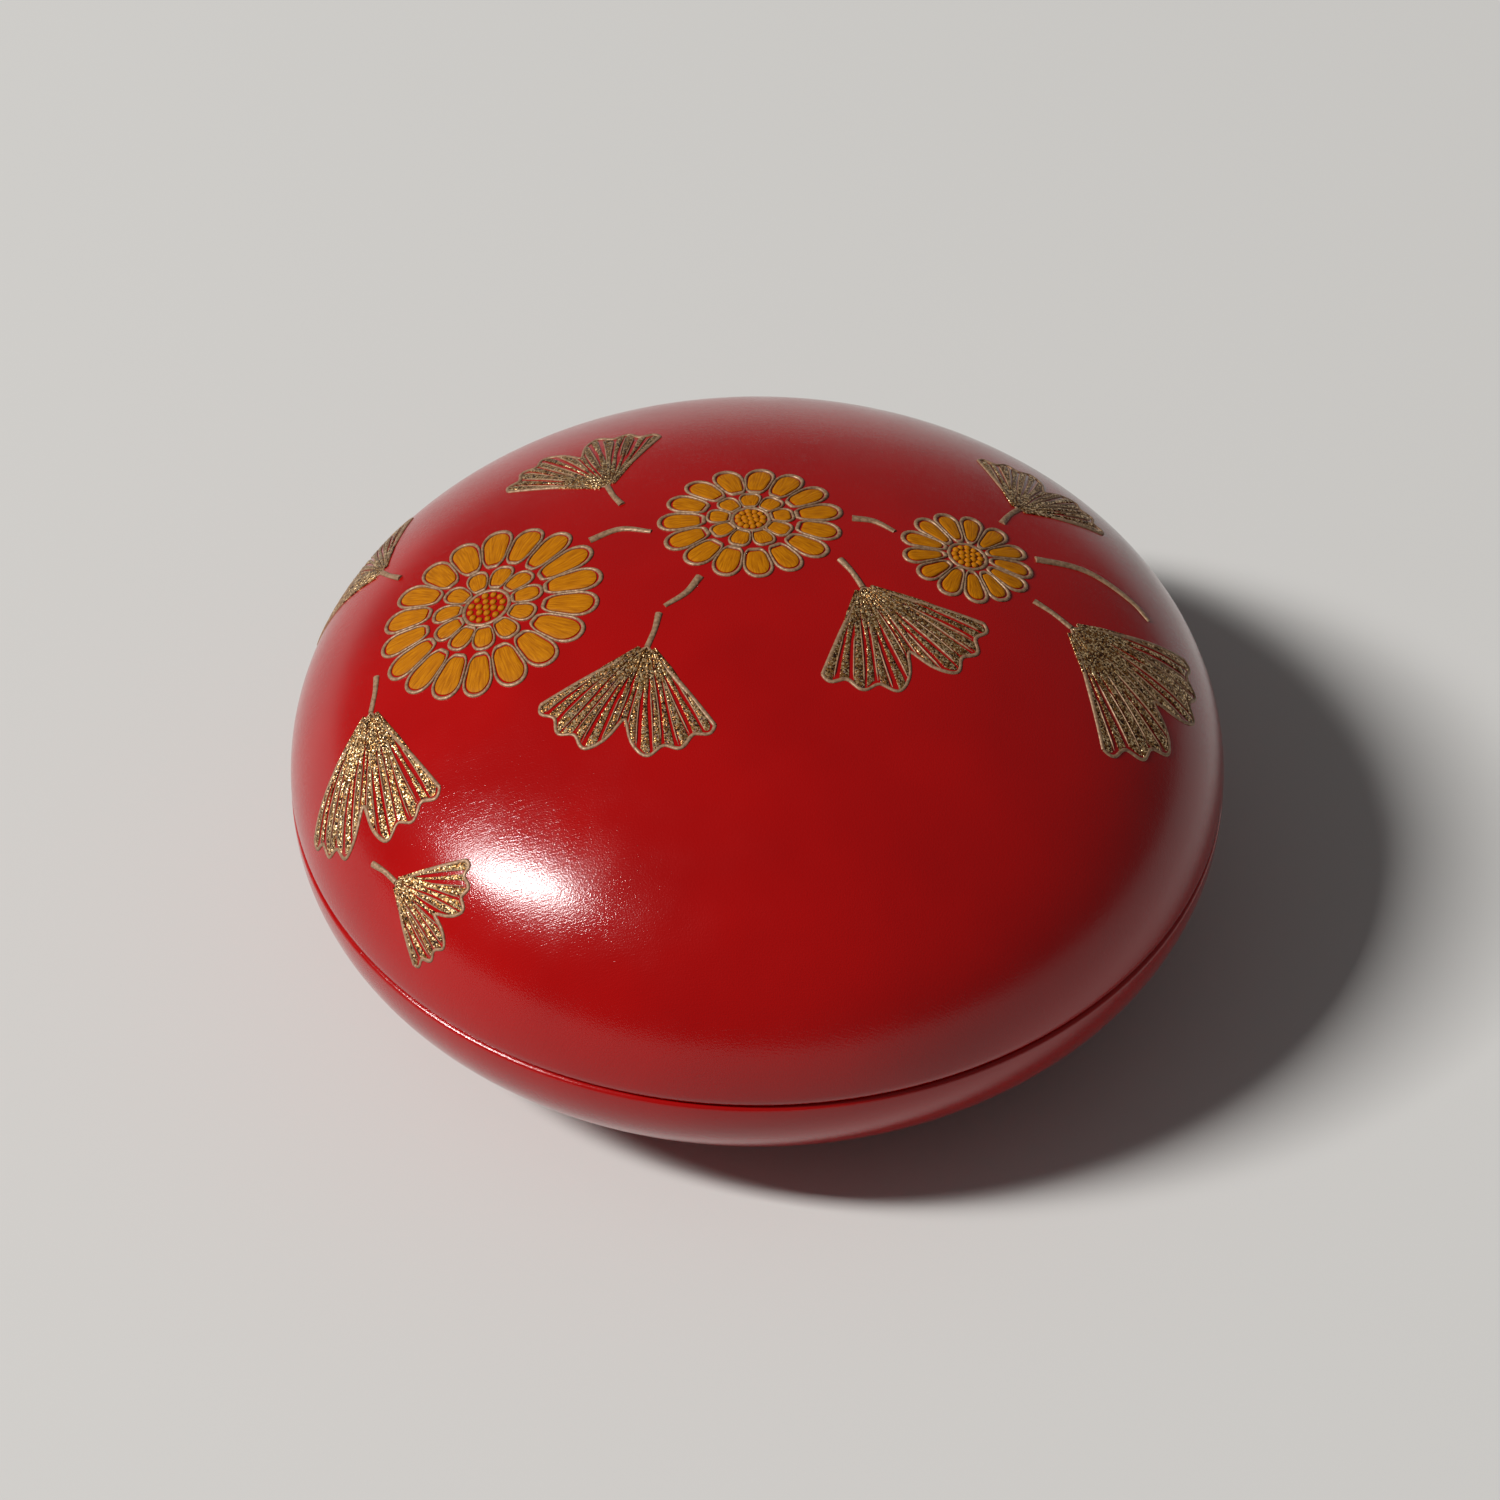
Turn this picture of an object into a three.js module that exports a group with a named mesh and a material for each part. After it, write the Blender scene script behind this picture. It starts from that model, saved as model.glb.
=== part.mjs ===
// A round, domed incense box. Lid and base are each a turned wooden core between a red outer lacquer
// and a black inner lacquer. A flange ring, glued into the base, guides the lid, and the lid carries a
// raised gold spray of chrysanthemums and ginkgo leaves. Millimetres, +Z up, origin under the foot.
import * as THREE from "three";

// Driving dimensions of the outside.
const boxRadius = 38; // at the seam between lid and base
const lidHeight = 21.3; // seam to the top of the dome
const lidShoulderRadius = 13.65; // bend that turns the dome down to the seam
const bowlDepth = 16.5; // seam to where the base's curve would bottom out
const bowlShoulderRadius = 10.8; // bend that turns the base in below the seam
const bendEase = 0.85; // share of a shoulder over which its bend grows from the crown's
const footCut = 1.5; // slice that the flat foot takes off that curve
const footRingWidth = 2.6; // flat ring that the box stands on
const footRecess = 0.7; // depth of the hollow inside the foot ring
const seamGap = 0.25; // shadow line between lid and base

// Driving dimensions of the inside.
const wall = 3; // core and both lacquers together
const outerLacquer = 0.45;
const innerLacquer = 0.35;
const bond = 0.05; // gap between pieces that are bonded
const wellDepth = 11.6; // base rim to the floor of the well
const wellShoulderRadius = 9; // bend between the well's side and floor
const flangeWall = 1.5;
const flangeRise = 4; // how far the flange stands above the base's rim
const flangeSeat = 4; // how far it reaches down into the base
const flangeRound = 0.5; // broken edge at the top of the flange
const flangeFit = 0.2; // clearance between the flange and the lid
const flangeHeadroom = 0.4; // between the flange's top and the lid's ledge

// Driving dimensions of the gold.
const relief = 0.3; // how far the gold stands out
const reliefGap = 0.15; // between the gold and the lacquer under it
const stemWidth = 0.9;
const reliefStep = 3; // longest flat stretch of gold on the curved lid

// The gold drawing, on a disc whose centre is the top of the lid and whose edge, at 1, is its rim.
// +X is to the right and +Y to the back. Directions and spreads are in degrees.
const blossoms = [
  { name: "blossom_large", at: [-0.463, 0.002], radius: 0.206, petals: 18 },
  { name: "blossom_medium", at: [-0.011, 0.139], radius: 0.158, petals: 15 },
  { name: "blossom_small", at: [0.358, 0.097], radius: 0.118, petals: 13 },
];
const leaves = [
  { name: "ginkgo_leaf_side", at: [-0.68, -0.131], toward: -98, length: 0.29, spread: 38 },
  { name: "ginkgo_leaf_back_left", at: [-0.674, 0.223], toward: 128, length: 0.242, spread: 44 },
  { name: "ginkgo_leaf_front", at: [-0.179, -0.145], toward: -105, length: 0.232, spread: 46 },
  { name: "ginkgo_leaf_back", at: [-0.253, 0.266], toward: 112, length: 0.221, spread: 46 },
  { name: "ginkgo_leaf_middle", at: [0.168, -0.012], toward: -60, length: 0.242, spread: 46 },
  { name: "ginkgo_leaf_back_right", at: [0.453, 0.276], toward: 62, length: 0.2, spread: 46 },
  { name: "ginkgo_leaf_right", at: [0.526, -0.008], toward: -30, length: 0.295, spread: 44 },
  { name: "ginkgo_leaf_fallen", at: [-0.665, -0.49], toward: -48, length: 0.175, spread: 42 },
];
const stems = [
  { name: "stem_left", route: [[-0.284, 0.118], [-0.232, 0.137], [-0.179, 0.12]] },
  { name: "stem_middle", route: [[0.16, 0.154], [0.198, 0.152], [0.232, 0.131]] },
  { name: "stem_front", route: [[-0.096, -0.008], [-0.118, -0.044], [-0.154, -0.071]] },
  { name: "tendril_right", route: [[0.482, 0.139], [0.579, 0.156], [0.665, 0.128], [0.705, 0.097]] },
];
const petalNotch = 0.14; // share of a blossom's radius cut away between its petals
const petalPoints = 4; // outline points for each petal
const leafPoints = 14; // outline steps across a leaf's fan, an even number
const leafNotch = 0.32; // share of a leaf's length cut away by its middle notch
const leafRipple = 0.05; // share of a leaf's length by which its edge waves
const leafHeart = 0.55; // share of a leaf's length from its foot to the middle of its blade
const petiole = 0.06; // leaf stalk, as a share of the drawing's radius
const stemSteps = 10;

// How finely round shapes are cut.
const turnSegments = 40;
const sectionSteps = 8;
const domeStations = 400; // along a dome's section, for measuring
const roundSteps = 2;

// Sizes that follow from the driving dimensions.
const baseHeight = bowlDepth - footCut;
const socketRadius = boxRadius - wall;
const flangeRadius = socketRadius - bond;
const boreRadius = flangeRadius + flangeFit;
const lining = innerLacquer + bond;
const coat = outerLacquer + bond;

const redLacquer = new THREE.MeshStandardMaterial({ color: 0xb00c0a, roughness: 0.28, metalness: 0 });
const blackLacquer = new THREE.MeshStandardMaterial({ color: 0x140e0c, roughness: 0.24, metalness: 0 });
const turnedWood = new THREE.MeshStandardMaterial({ color: 0xb58a5a, roughness: 0.75, metalness: 0 });
const amberGold = new THREE.MeshStandardMaterial({ color: 0xbb7102, roughness: 0.45, metalness: 0.6 });
const goldPowder = new THREE.MeshStandardMaterial({ color: 0x9a6a38, roughness: 0.5, metalness: 0.8 });
const paleGold = new THREE.MeshStandardMaterial({ color: 0xa3906c, roughness: 0.4, metalness: 0.8 });

const degrees = THREE.MathUtils.degToRad;
const point = (x, y) => new THREE.Vector2(x, y);

// Points along an arc, both ends included.
function arc(centreX, centreY, radius, from, to, steps) {
  return Array.from({ length: steps + 1 }, (_, i) => {
    const angle = from + ((to - from) * i) / steps;
    return point(centreX + radius * Math.cos(angle), centreY + radius * Math.sin(angle));
  });
}

// Where, from 0 to 1, a growing measure reaches a value.
function whereReaches(measure, value) {
  let [low, high] = [0, 1];
  for (let i = 0; i < 48; i++) {
    const middle = (low + high) / 2;
    if (measure(middle) < value) low = middle;
    else high = middle;
  }
  return (low + high) / 2;
}

// Half a section of a dome that rises plumb from its rim at height 0. A crown arc, centred on the axis, and a
// shoulder arc set how it bends, and the bend eases from the one to the other.
class Dome {
  constructor(radius, height, shoulder) {
    const crown = (radius ** 2 - 2 * radius * shoulder + height ** 2) / (2 * (height - shoulder));
    const meeting = Math.atan2(radius - shoulder, crown - height);
    const crownLength = crown * meeting;
    const shoulderLength = shoulder * (Math.PI / 2 - meeting);
    const ease = bendEase * Math.min(crownLength, shoulderLength);
    const stride = (crownLength + shoulderLength) / domeStations;
    const walk = [{ x: 0, drop: 0, lean: 0 }];
    for (let i = 0; i < domeStations; i++) {
      const { x, drop, lean } = walk[i];
      const along = (i + 0.5) * stride;
      const change = THREE.MathUtils.smoothstep(along, crownLength - ease, crownLength + ease);
      const turn = stride * THREE.MathUtils.lerp(1 / crown, 1 / shoulder, change);
      const heading = lean + turn / 2;
      walk.push({
        x: x + stride * Math.cos(heading),
        drop: drop + stride * Math.sin(heading),
        lean: lean + turn,
      });
    }
    const rim = walk.at(-1);
    const [widen, deepen] = [radius / rim.x, height / rim.drop];
    this.top = height;
    this.stations = walk.map(({ x, drop, lean }) => ({
      x: x * widen,
      y: height - drop * deepen,
      lean: Math.atan2(Math.sin(lean) * deepen, Math.cos(lean) * widen),
    }));
    this.meridian = this.stations
      .slice(1)
      .reduce((sum, to, i) => sum + Math.hypot(to.x - this.stations[i].x, to.y - this.stations[i].y), 0);
  }

  // Lean of the surface, and its point when sunk by depth, at a share of the way from the top to the rim.
  look(share, depth) {
    const place = Math.min(share, 1) * domeStations;
    const i = Math.min(Math.floor(place), domeStations - 1);
    const mix = (key) => THREE.MathUtils.lerp(this.stations[i][key], this.stations[i + 1][key], place - i);
    const lean = mix("lean");
    return { lean, spot: point(mix("x") - depth * Math.sin(lean), mix("y") - depth * Math.cos(lean)) };
  }

  // Share of the way at which the surface sunk by depth is at a height.
  shareAt(height, depth) {
    return whereReaches((share) => -this.look(share, depth).spot.y, -height);
  }

  // Measure that grows with the way and with the lean, so that even steps of it suit crown and shoulder.
  pace(share) {
    return share + this.look(share, 0).lean / (Math.PI / 2);
  }

  // The surface sunk by depth, from its height at the upper end down to its height at the lower end.
  section(depth, upper, lower) {
    const [from, to] = [upper, lower].map((height) => this.pace(this.shareAt(height, depth)));
    return Array.from({ length: sectionSteps + 1 }, (_, i) => {
      const pace = THREE.MathUtils.lerp(from, to, i / sectionSteps);
      const share = whereReaches((way) => this.pace(way), pace);
      return this.look(share, depth).spot;
    });
  }

  // The surface sunk by depth, from the axis to a height near the rim.
  fromTop(depth, lower) {
    const points = this.section(depth, this.top - depth, lower);
    points[0].x = 0;
    return points;
  }
}

const lidDome = new Dome(boxRadius, lidHeight - outerLacquer, lidShoulderRadius);
const bowl = new Dome(boxRadius, bowlDepth - outerLacquer, bowlShoulderRadius);
const well = new Dome(socketRadius, wellDepth - outerLacquer, wellShoulderRadius);

// Each half is drawn from its dome's rim at height 0. The rim's lacquer lies below that, by its thickness.
const rimFace = -outerLacquer;
const lidLedge = flangeRise - seamGap + flangeHeadroom - outerLacquer;
const baseLedge = flangeSeat - outerLacquer;
const footPlane = baseHeight - outerLacquer;
const footInner = footPlane - coat; // where the underside's lacquer ends and the side's begins
const footEdge = bowl.look(bowl.shareAt(footPlane, 0), 0).spot;
const recessRadius = footEdge.x - footRingWidth;

// A solid turned about Z; facing is 1 for the lid and -1 for the base. A profile runs from axis to axis,
// or is a ring's section, which is closed here.
function turned(name, profile, material, facing) {
  const points = profile.map((p) => point(p.x, p.y * facing));
  if (points[0].x > 0) points.push(points[0].clone());
  if (facing > 0) points.reverse();
  const geometry = new THREE.LatheGeometry(points, turnSegments).rotateX(Math.PI / 2);
  const mesh = new THREE.Mesh(geometry, material);
  mesh.name = name;
  return mesh;
}

// Red lacquer over the outside of a half, which it leaves over the rim with a round of its own thickness.
function outerLacquerProfile(outside, inside, lipRadius) {
  const rimRound = arc(boxRadius - outerLacquer, 0, outerLacquer, 0, -Math.PI / 2, roundSteps);
  const lip = [point(lipRadius, rimFace), point(lipRadius, 0)];
  return [...outside, ...rimRound.slice(1), ...lip, ...inside.reverse()];
}

// The inside of a half at a layer behind its visible face: a straight bore, a ledge and a dome.
function hollow(dome, depth, radius, ledge, layer, lower) {
  const arcs = dome.fromTop(depth - layer, ledge + layer);
  return [...arcs, point(radius + layer, ledge + layer), point(radius + layer, lower)];
}

// Black lacquer over the inside of a half.
function innerLacquerProfile(dome, depth, radius, ledge) {
  const back = hollow(dome, depth, radius, ledge, innerLacquer, rimFace);
  const face = hollow(dome, depth, radius, ledge, 0, rimFace);
  return [...back, ...face.reverse()];
}

function makeLid() {
  const lid = new THREE.Group();
  lid.position.z = baseHeight + seamGap + outerLacquer;

  const lipRadius = boreRadius + lining;
  const outer = outerLacquerProfile(lidDome.fromTop(0, 0), lidDome.fromTop(outerLacquer, 0), lipRadius);
  const core = [
    ...lidDome.fromTop(coat, bond),
    ...hollow(lidDome, wall, boreRadius, lidLedge, lining, bond).reverse(),
  ];
  const inner = innerLacquerProfile(lidDome, wall, boreRadius, lidLedge);

  lid.add(turned("lid_outer_lacquer", outer, redLacquer, 1));
  lid.add(turned("lid_core", core, turnedWood, 1));
  lid.add(turned("lid_inner_lacquer", inner, blackLacquer, 1));
  return lid;
}

function makeBase() {
  const base = new THREE.Group();
  base.position.z = footPlane;

  const lipRadius = socketRadius + lining;
  const outside = bowl.section(0, footInner, 0);
  const inside = bowl.section(outerLacquer, footInner, 0);
  const core = [
    point(0, footInner - footRecess),
    point(recessRadius + coat, footInner - footRecess),
    point(recessRadius + coat, footInner),
    ...bowl.section(coat, footInner, bond),
    ...hollow(well, 0, socketRadius, baseLedge, lining, bond).reverse(),
  ];
  const backing = footPlane - outerLacquer;
  const underside = [
    point(0, footPlane - footRecess),
    point(recessRadius, footPlane - footRecess),
    point(recessRadius, footPlane),
    footEdge,
    bowl.look(bowl.shareAt(backing, 0), 0).spot,
    point(recessRadius + outerLacquer, backing),
    point(recessRadius + outerLacquer, backing - footRecess),
    point(0, backing - footRecess),
  ];
  const inner = innerLacquerProfile(well, 0, socketRadius, baseLedge);

  base.add(turned("base_outer_lacquer", outerLacquerProfile(outside, inside, lipRadius), redLacquer, -1));
  base.add(turned("base_core", core, turnedWood, -1));
  base.add(turned("base_inner_lacquer", inner, blackLacquer, -1));
  base.add(turned("base_underside_lacquer", underside, blackLacquer, -1));
  base.add(makeFlange());
  return base;
}

// The ring that stands in the base's socket, on its ledge, and rises into the lid.
function makeFlange() {
  const inside = flangeRadius - flangeWall;
  const foot = baseLedge - bond;
  const top = rimFace - flangeRise;
  const ring = [
    point(inside, foot),
    point(flangeRadius, foot),
    point(flangeRadius, top + flangeRound),
    point(flangeRadius - flangeRound, top),
    point(inside + flangeRound, top),
    point(inside, top + flangeRound),
  ];
  return turned("rim_flange", ring, blackLacquer, -1);
}

// The place on the lid, lifted off its surface, of a point of the gold drawing.
function onLid(drawn, lift) {
  const { x: radius, y: z } = lidDome.look(drawn.length(), -lift).spot;
  const turn = drawn.angle();
  return new THREE.Vector3(radius * Math.cos(turn), radius * Math.sin(turn), z);
}

// A closed solid between an underside and a top, each a list of rows of points, and each row a closed ring
// round the same way. The first row of each is drawn to its middle.
function layeredSolid(name, middles, sides, material) {
  const positions = [];
  const faces = [];
  const add = (p) => positions.push(p) - 1;
  const strip = (a, b) =>
    a.forEach((corner, i) => {
      const next = (i + 1) % a.length;
      faces.push(corner, b[i], b[next], corner, b[next], a[next]);
    });
  const [under, over] = sides.map((rows) => rows.map((row) => row.map(add)));
  const [underMiddle, overMiddle] = middles.map(add);
  over[0].forEach((corner, i) => faces.push(overMiddle, corner, over[0][(i + 1) % over[0].length]));
  under[0].forEach((corner, i) => faces.push(underMiddle, under[0][(i + 1) % under[0].length], corner));
  over.slice(1).forEach((row, i) => strip(over[i], row));
  under.slice(1).forEach((row, i) => strip(row, under[i]));
  strip(over.at(-1), under.at(-1));
  const geometry = new THREE.BufferGeometry().setFromPoints(positions).setIndex(faces);
  const mesh = new THREE.Mesh(geometry, material);
  mesh.name = name;
  return mesh;
}

// A closed outline with its long sides cut into steps that can follow the lid.
function refined(outline) {
  return outline.flatMap((from, i) => {
    const to = outline[(i + 1) % outline.length];
    const steps = Math.ceil((from.distanceTo(to) * lidDome.meridian) / reliefStep);
    return Array.from({ length: steps }, (_, k) => from.clone().lerp(to, k / steps));
  });
}

// A raised piece of gold whose outline can be seen whole from its middle.
function inlay(name, corners, middle, material) {
  const outline = refined(corners);
  const reach = Math.max(...outline.map((p) => p.distanceTo(middle))) * lidDome.meridian;
  const rows = Math.ceil(reach / reliefStep);
  const heights = [reliefGap, reliefGap + relief];
  const ring = (share, lift) => outline.map((p) => onLid(middle.clone().lerp(p, share), lift));
  const sides = heights.map((lift) =>
    Array.from({ length: rows }, (_, row) => ring((row + 1) / rows, lift)),
  );
  return layeredSolid(name, heights.map((lift) => onLid(middle, lift)), sides, material);
}

// A point of the drawing at a distance and direction from another.
function step(from, distance, angle) {
  return point(from.x + distance * Math.cos(angle), from.y + distance * Math.sin(angle));
}

function makeBlossom({ name, at, radius, petals }) {
  const middle = point(...at);
  const count = petals * petalPoints;
  const outline = Array.from({ length: count }, (_, i) => {
    const swell = Math.abs(Math.sin((Math.PI * i) / petalPoints));
    return step(middle, radius * (1 - petalNotch * (1 - swell)), (2 * Math.PI * i) / count);
  });
  return inlay(name, outline, middle, amberGold);
}

// A fan-shaped leaf with a notch in its edge and a short stalk.
function makeLeaf({ name, at, toward, length, spread }) {
  const foot = point(...at);
  const heading = degrees(toward);
  const edge = Array.from({ length: leafPoints + 1 }, (_, i) => {
    const cut = i === leafPoints / 2 ? leafNotch : leafRipple * (i % 2);
    return step(foot, length * (1 - cut), heading + degrees(spread) * ((2 * i) / leafPoints - 1));
  });
  const side = stemWidth / 2 / lidDome.meridian;
  const stalk = step(foot, -petiole, heading);
  const left = heading + Math.PI / 2;
  const outline = [
    step(foot, -side, left),
    ...edge,
    step(foot, side, left),
    step(stalk, side, left),
    step(stalk, -side, left),
  ];
  return inlay(name, outline, step(foot, length * leafHeart, heading), goldPowder);
}

// A raised line of gold along a route, as one closed ring drawn to the route's middle line.
function makeStem({ name, route }) {
  const curve = new THREE.SplineCurve(route.map((p) => point(...p)));
  const side = stemWidth / 2 / lidDome.meridian;
  const edge = (sign) =>
    Array.from({ length: stemSteps + 1 }, (_, i) => {
      const along = curve.getTangent(i / stemSteps);
      return curve.getPoint(i / stemSteps).addScaledVector(point(-along.y, along.x), sign * side);
    });
  const left = edge(1);
  const right = edge(-1);
  const positions = [];
  const faces = [];
  const corner = (i, k) => 4 * i + (k % 4);
  for (let i = 0; i <= stemSteps; i++) {
    const lower = [right[i], left[i]].map((p) => onLid(p, reliefGap));
    const upper = [left[i], right[i]].map((p) => onLid(p, reliefGap + relief));
    positions.push(...lower, ...upper);
    for (let k = 0; k < 4 && i < stemSteps; k++) {
      faces.push(corner(i, k), corner(i, k + 1), corner(i + 1, k + 1));
      faces.push(corner(i, k), corner(i + 1, k + 1), corner(i + 1, k));
    }
  }
  const [start, end] = [corner(0, 0), corner(stemSteps, 0)];
  faces.push(start, start + 2, start + 1, start, start + 3, start + 2);
  faces.push(end, end + 1, end + 2, end, end + 2, end + 3);
  const geometry = new THREE.BufferGeometry().setFromPoints(positions).setIndex(faces);
  const mesh = new THREE.Mesh(geometry, paleGold);
  mesh.name = name;
  return mesh;
}

const incenseBox = new THREE.Group();
const base = makeBase();
const lid = makeLid();
blossoms.forEach((blossom) => lid.add(makeBlossom(blossom)));
leaves.forEach((leaf) => lid.add(makeLeaf(leaf)));
stems.forEach((stem) => lid.add(makeStem(stem)));
incenseBox.add(base, lid);

export default incenseBox;
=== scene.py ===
"""A round, domed incense box in polished red lacquer, with raised gold on its lid.

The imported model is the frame. The turned shells, the flange, and the flowers and leaves of the gold
drawing are modelled here over it, in metres.
"""

import logging
import math
from collections.abc import Callable, Sequence
from dataclasses import dataclass
from enum import Enum, IntEnum
from typing import TypeVar

import bmesh
import bpy
import numpy as np
from mathutils import Matrix, Vector


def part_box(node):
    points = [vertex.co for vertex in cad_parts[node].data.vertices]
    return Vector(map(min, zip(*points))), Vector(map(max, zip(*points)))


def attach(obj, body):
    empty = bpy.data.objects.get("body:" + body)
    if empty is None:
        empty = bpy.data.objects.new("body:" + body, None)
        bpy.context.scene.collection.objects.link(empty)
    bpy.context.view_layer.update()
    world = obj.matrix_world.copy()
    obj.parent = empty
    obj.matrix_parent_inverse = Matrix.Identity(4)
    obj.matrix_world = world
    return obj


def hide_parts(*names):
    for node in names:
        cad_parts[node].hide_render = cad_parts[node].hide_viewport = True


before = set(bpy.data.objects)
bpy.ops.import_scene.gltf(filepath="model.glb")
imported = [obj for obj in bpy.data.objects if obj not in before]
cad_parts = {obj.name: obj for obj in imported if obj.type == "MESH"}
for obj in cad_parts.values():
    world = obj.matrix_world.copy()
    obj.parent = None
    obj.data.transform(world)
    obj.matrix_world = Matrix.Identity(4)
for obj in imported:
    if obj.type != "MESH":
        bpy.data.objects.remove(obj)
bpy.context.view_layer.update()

log = logging.getLogger("incense_box")

MM = 0.001
FULL_TURN = 2 * math.pi
CENTRE = (0, 0, 0)
WELD = 0.001 * MM  # corners nearer than this are one
SHARP_EDGE = math.radians(50)  # turned edges sharper than this are rounded
TURNED_CREASE, GOLD_CREASE = 35, 60  # degrees up to which faces are shaded as one
LINE_RISE = 0.65  # height of a raised line against its width
ROW_PITCH = 2  # from copy to copy in a row, in their own widths
CROWN_ROUND = 0.6  # power that rounds the tops of bands and ribs; under 1 is fuller
NOISE_SPAN = (0.33, 0.67)  # the third in which most noise lies
HASH_STEP, HASH_SCALE = 12.9898, 43758.5453  # of the steady chances

Colour = tuple[float, float, float, float]
Pair = tuple[float, float]
Triple = tuple[float, float, float]
Profile = list[Pair]
Piece = bpy.types.Object
Element = bmesh.types.BMVert | bmesh.types.BMFace
Socket = bpy.types.NodeSocket
Inputs = dict[str | int, object]
Amounts = Sequence[float] | np.ndarray
Route = Sequence[Pair] | np.ndarray  # points of the flat drawing
Height = TypeVar("Height", float, np.ndarray)  # one, or many at once


class Body(str, Enum):
    """The two halves that move apart."""

    BASE = "base"
    LID = "lid"


class Slot(str, Enum):
    """Material slots of the box."""

    RED = "red_lacquer"
    BLACK = "black_lacquer"
    WOOD = "turned_wood"
    AMBER = "amber_gold"
    POWDER = "gold_powder"
    PALE = "pale_gold"


class Zone(IntEnum):
    """Parts of a petal, from its edge inwards."""

    LINE = 0
    GAP = 1
    FILL = 2


class Kind(str, Enum):
    """What is selected in edit mode."""

    CORNER = "VERT"
    FACE = "FACE"


def srgb(*channels: float) -> Colour:
    """Linear colour, as sockets take it, of 8-bit red, green and blue."""
    shares = (channel / 255 for channel in channels)
    return (*(s / 12.92 if s <= 0.04045 else ((s + 0.055) / 1.055) ** 2.4 for s in shares), 1.0)


class NodeSheet:
    """A material's node tree, with short ways to add and join its nodes."""

    def __init__(self, name: str) -> None:
        """Starts a material that holds a Principled shader and an output.

        Args:
            name: Name of the material.
        """
        self.material = bpy.data.materials.new(name)
        self.material.use_nodes = True
        self.tree = self.material.node_tree
        self.shader = self.tree.nodes["Principled BSDF"]

    def feed(self, node: bpy.types.Node, inputs: Inputs) -> None:
        """Sets or links sockets of a node.

        Args:
            node: The node.
            inputs: Socket name or index to a value, or to the socket that feeds it.
        """
        for name, value in inputs.items():
            if isinstance(value, Socket):
                self.tree.links.new(value, node.inputs[name])
            else:
                node.inputs[name].default_value = value

    def add(self, kind: str, inputs: Inputs, **settings: object) -> bpy.types.Node:
        """Adds a node.

        Args:
            kind: Node type without its ShaderNode prefix.
            inputs: What feeds its sockets.
            **settings: Properties of the node itself.

        Returns:
            The new node.
        """
        node = self.tree.nodes.new("ShaderNode" + kind)
        for name, value in settings.items():
            setattr(node, name, value)
        self.feed(node, inputs)
        return node

    def finish(self, **inputs: object) -> bpy.types.Material:
        """Feeds the shader's sockets, named with _ for a space, and gives the material."""
        self.feed(self.shader, {name.replace("_", " "): value for name, value in inputs.items()})
        return self.material

    def place(self, scale: Triple = (1, 1, 1), turn: Triple = CENTRE) -> Socket:
        """Object coordinates, scaled and then turned."""
        spot = {"Vector": self.add("TexCoord", {}).outputs["Object"]}
        return self.add("Mapping", {**spot, "Scale": scale, "Rotation": turn}).outputs["Vector"]

    def noise(self, vector: Socket, scale: float, detail: float = 2.0) -> Socket:
        """Noise with as many features to the metre as its scale, and finer ones by its detail."""
        inputs = {"Vector": vector, "Scale": scale, "Detail": detail}
        return self.add("TexNoise", inputs).outputs["Fac"]

    def ramp(self, factor: Socket, *stops: tuple[float, Colour]) -> Socket:
        """Colour ramp.

        Args:
            factor: What it reads.
            *stops: Place and colour of each stop.

        Returns:
            The colour.
        """
        node = self.add("ValToRGB", {"Fac": factor})
        elements = node.color_ramp.elements
        while len(elements) < len(stops):
            elements.new(1.0)
        for element, (place, colour) in zip(elements, stops):
            element.position, element.color = place, colour
        return node.outputs["Color"]

    def spread(self, factor: Socket, span: Pair) -> Socket:
        """A noise, spread over a span of values."""
        ends = zip(("From Min", "From Max", "To Min", "To Max"), (*NOISE_SPAN, *span))
        return self.add("MapRange", {"Value": factor, **dict(ends)}).outputs["Result"]

    def bump(self, height: Socket, distance: float, **under: Socket) -> Socket:
        """Bump whose full height is a distance, on top of the Normal that it is given, if any."""
        inputs = {"Height": height, "Distance": distance, "Strength": 1.0, **under}
        return self.add("Bump", inputs).outputs["Normal"]

    def vector(self, operation: str, inputs: Inputs, output: str = "Vector") -> Socket:
        """Vector maths by the name of the operation."""
        return self.add("VectorMath", inputs, operation=operation).outputs[output]


@dataclass(frozen=True)
class Lacquer:
    """What both lacquers have in common: patches that differ in depth and in polish."""

    deep: Colour  # where it is thick
    bright: Colour  # where it is thin
    contrast: Pair  # noise at which it is thickest and thinnest
    clouds: float  # thick and thin patches to the metre
    roughness: Pair
    polish: float  # patches of more and less polish to the metre

    def patches(self, sheet: NodeSheet) -> None:
        """Feeds the shader its colour and its roughness.

        Args:
            sheet: Nodes of the material.
        """
        spot = sheet.place()
        cloud = sheet.noise(spot, self.clouds, detail=3)
        colour = sheet.ramp(cloud, *zip(self.contrast, (self.deep, self.bright)))
        rough = sheet.spread(sheet.noise(spot, self.polish), self.roughness)
        sheet.finish(Base_Color=colour, Roughness=rough)


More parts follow.
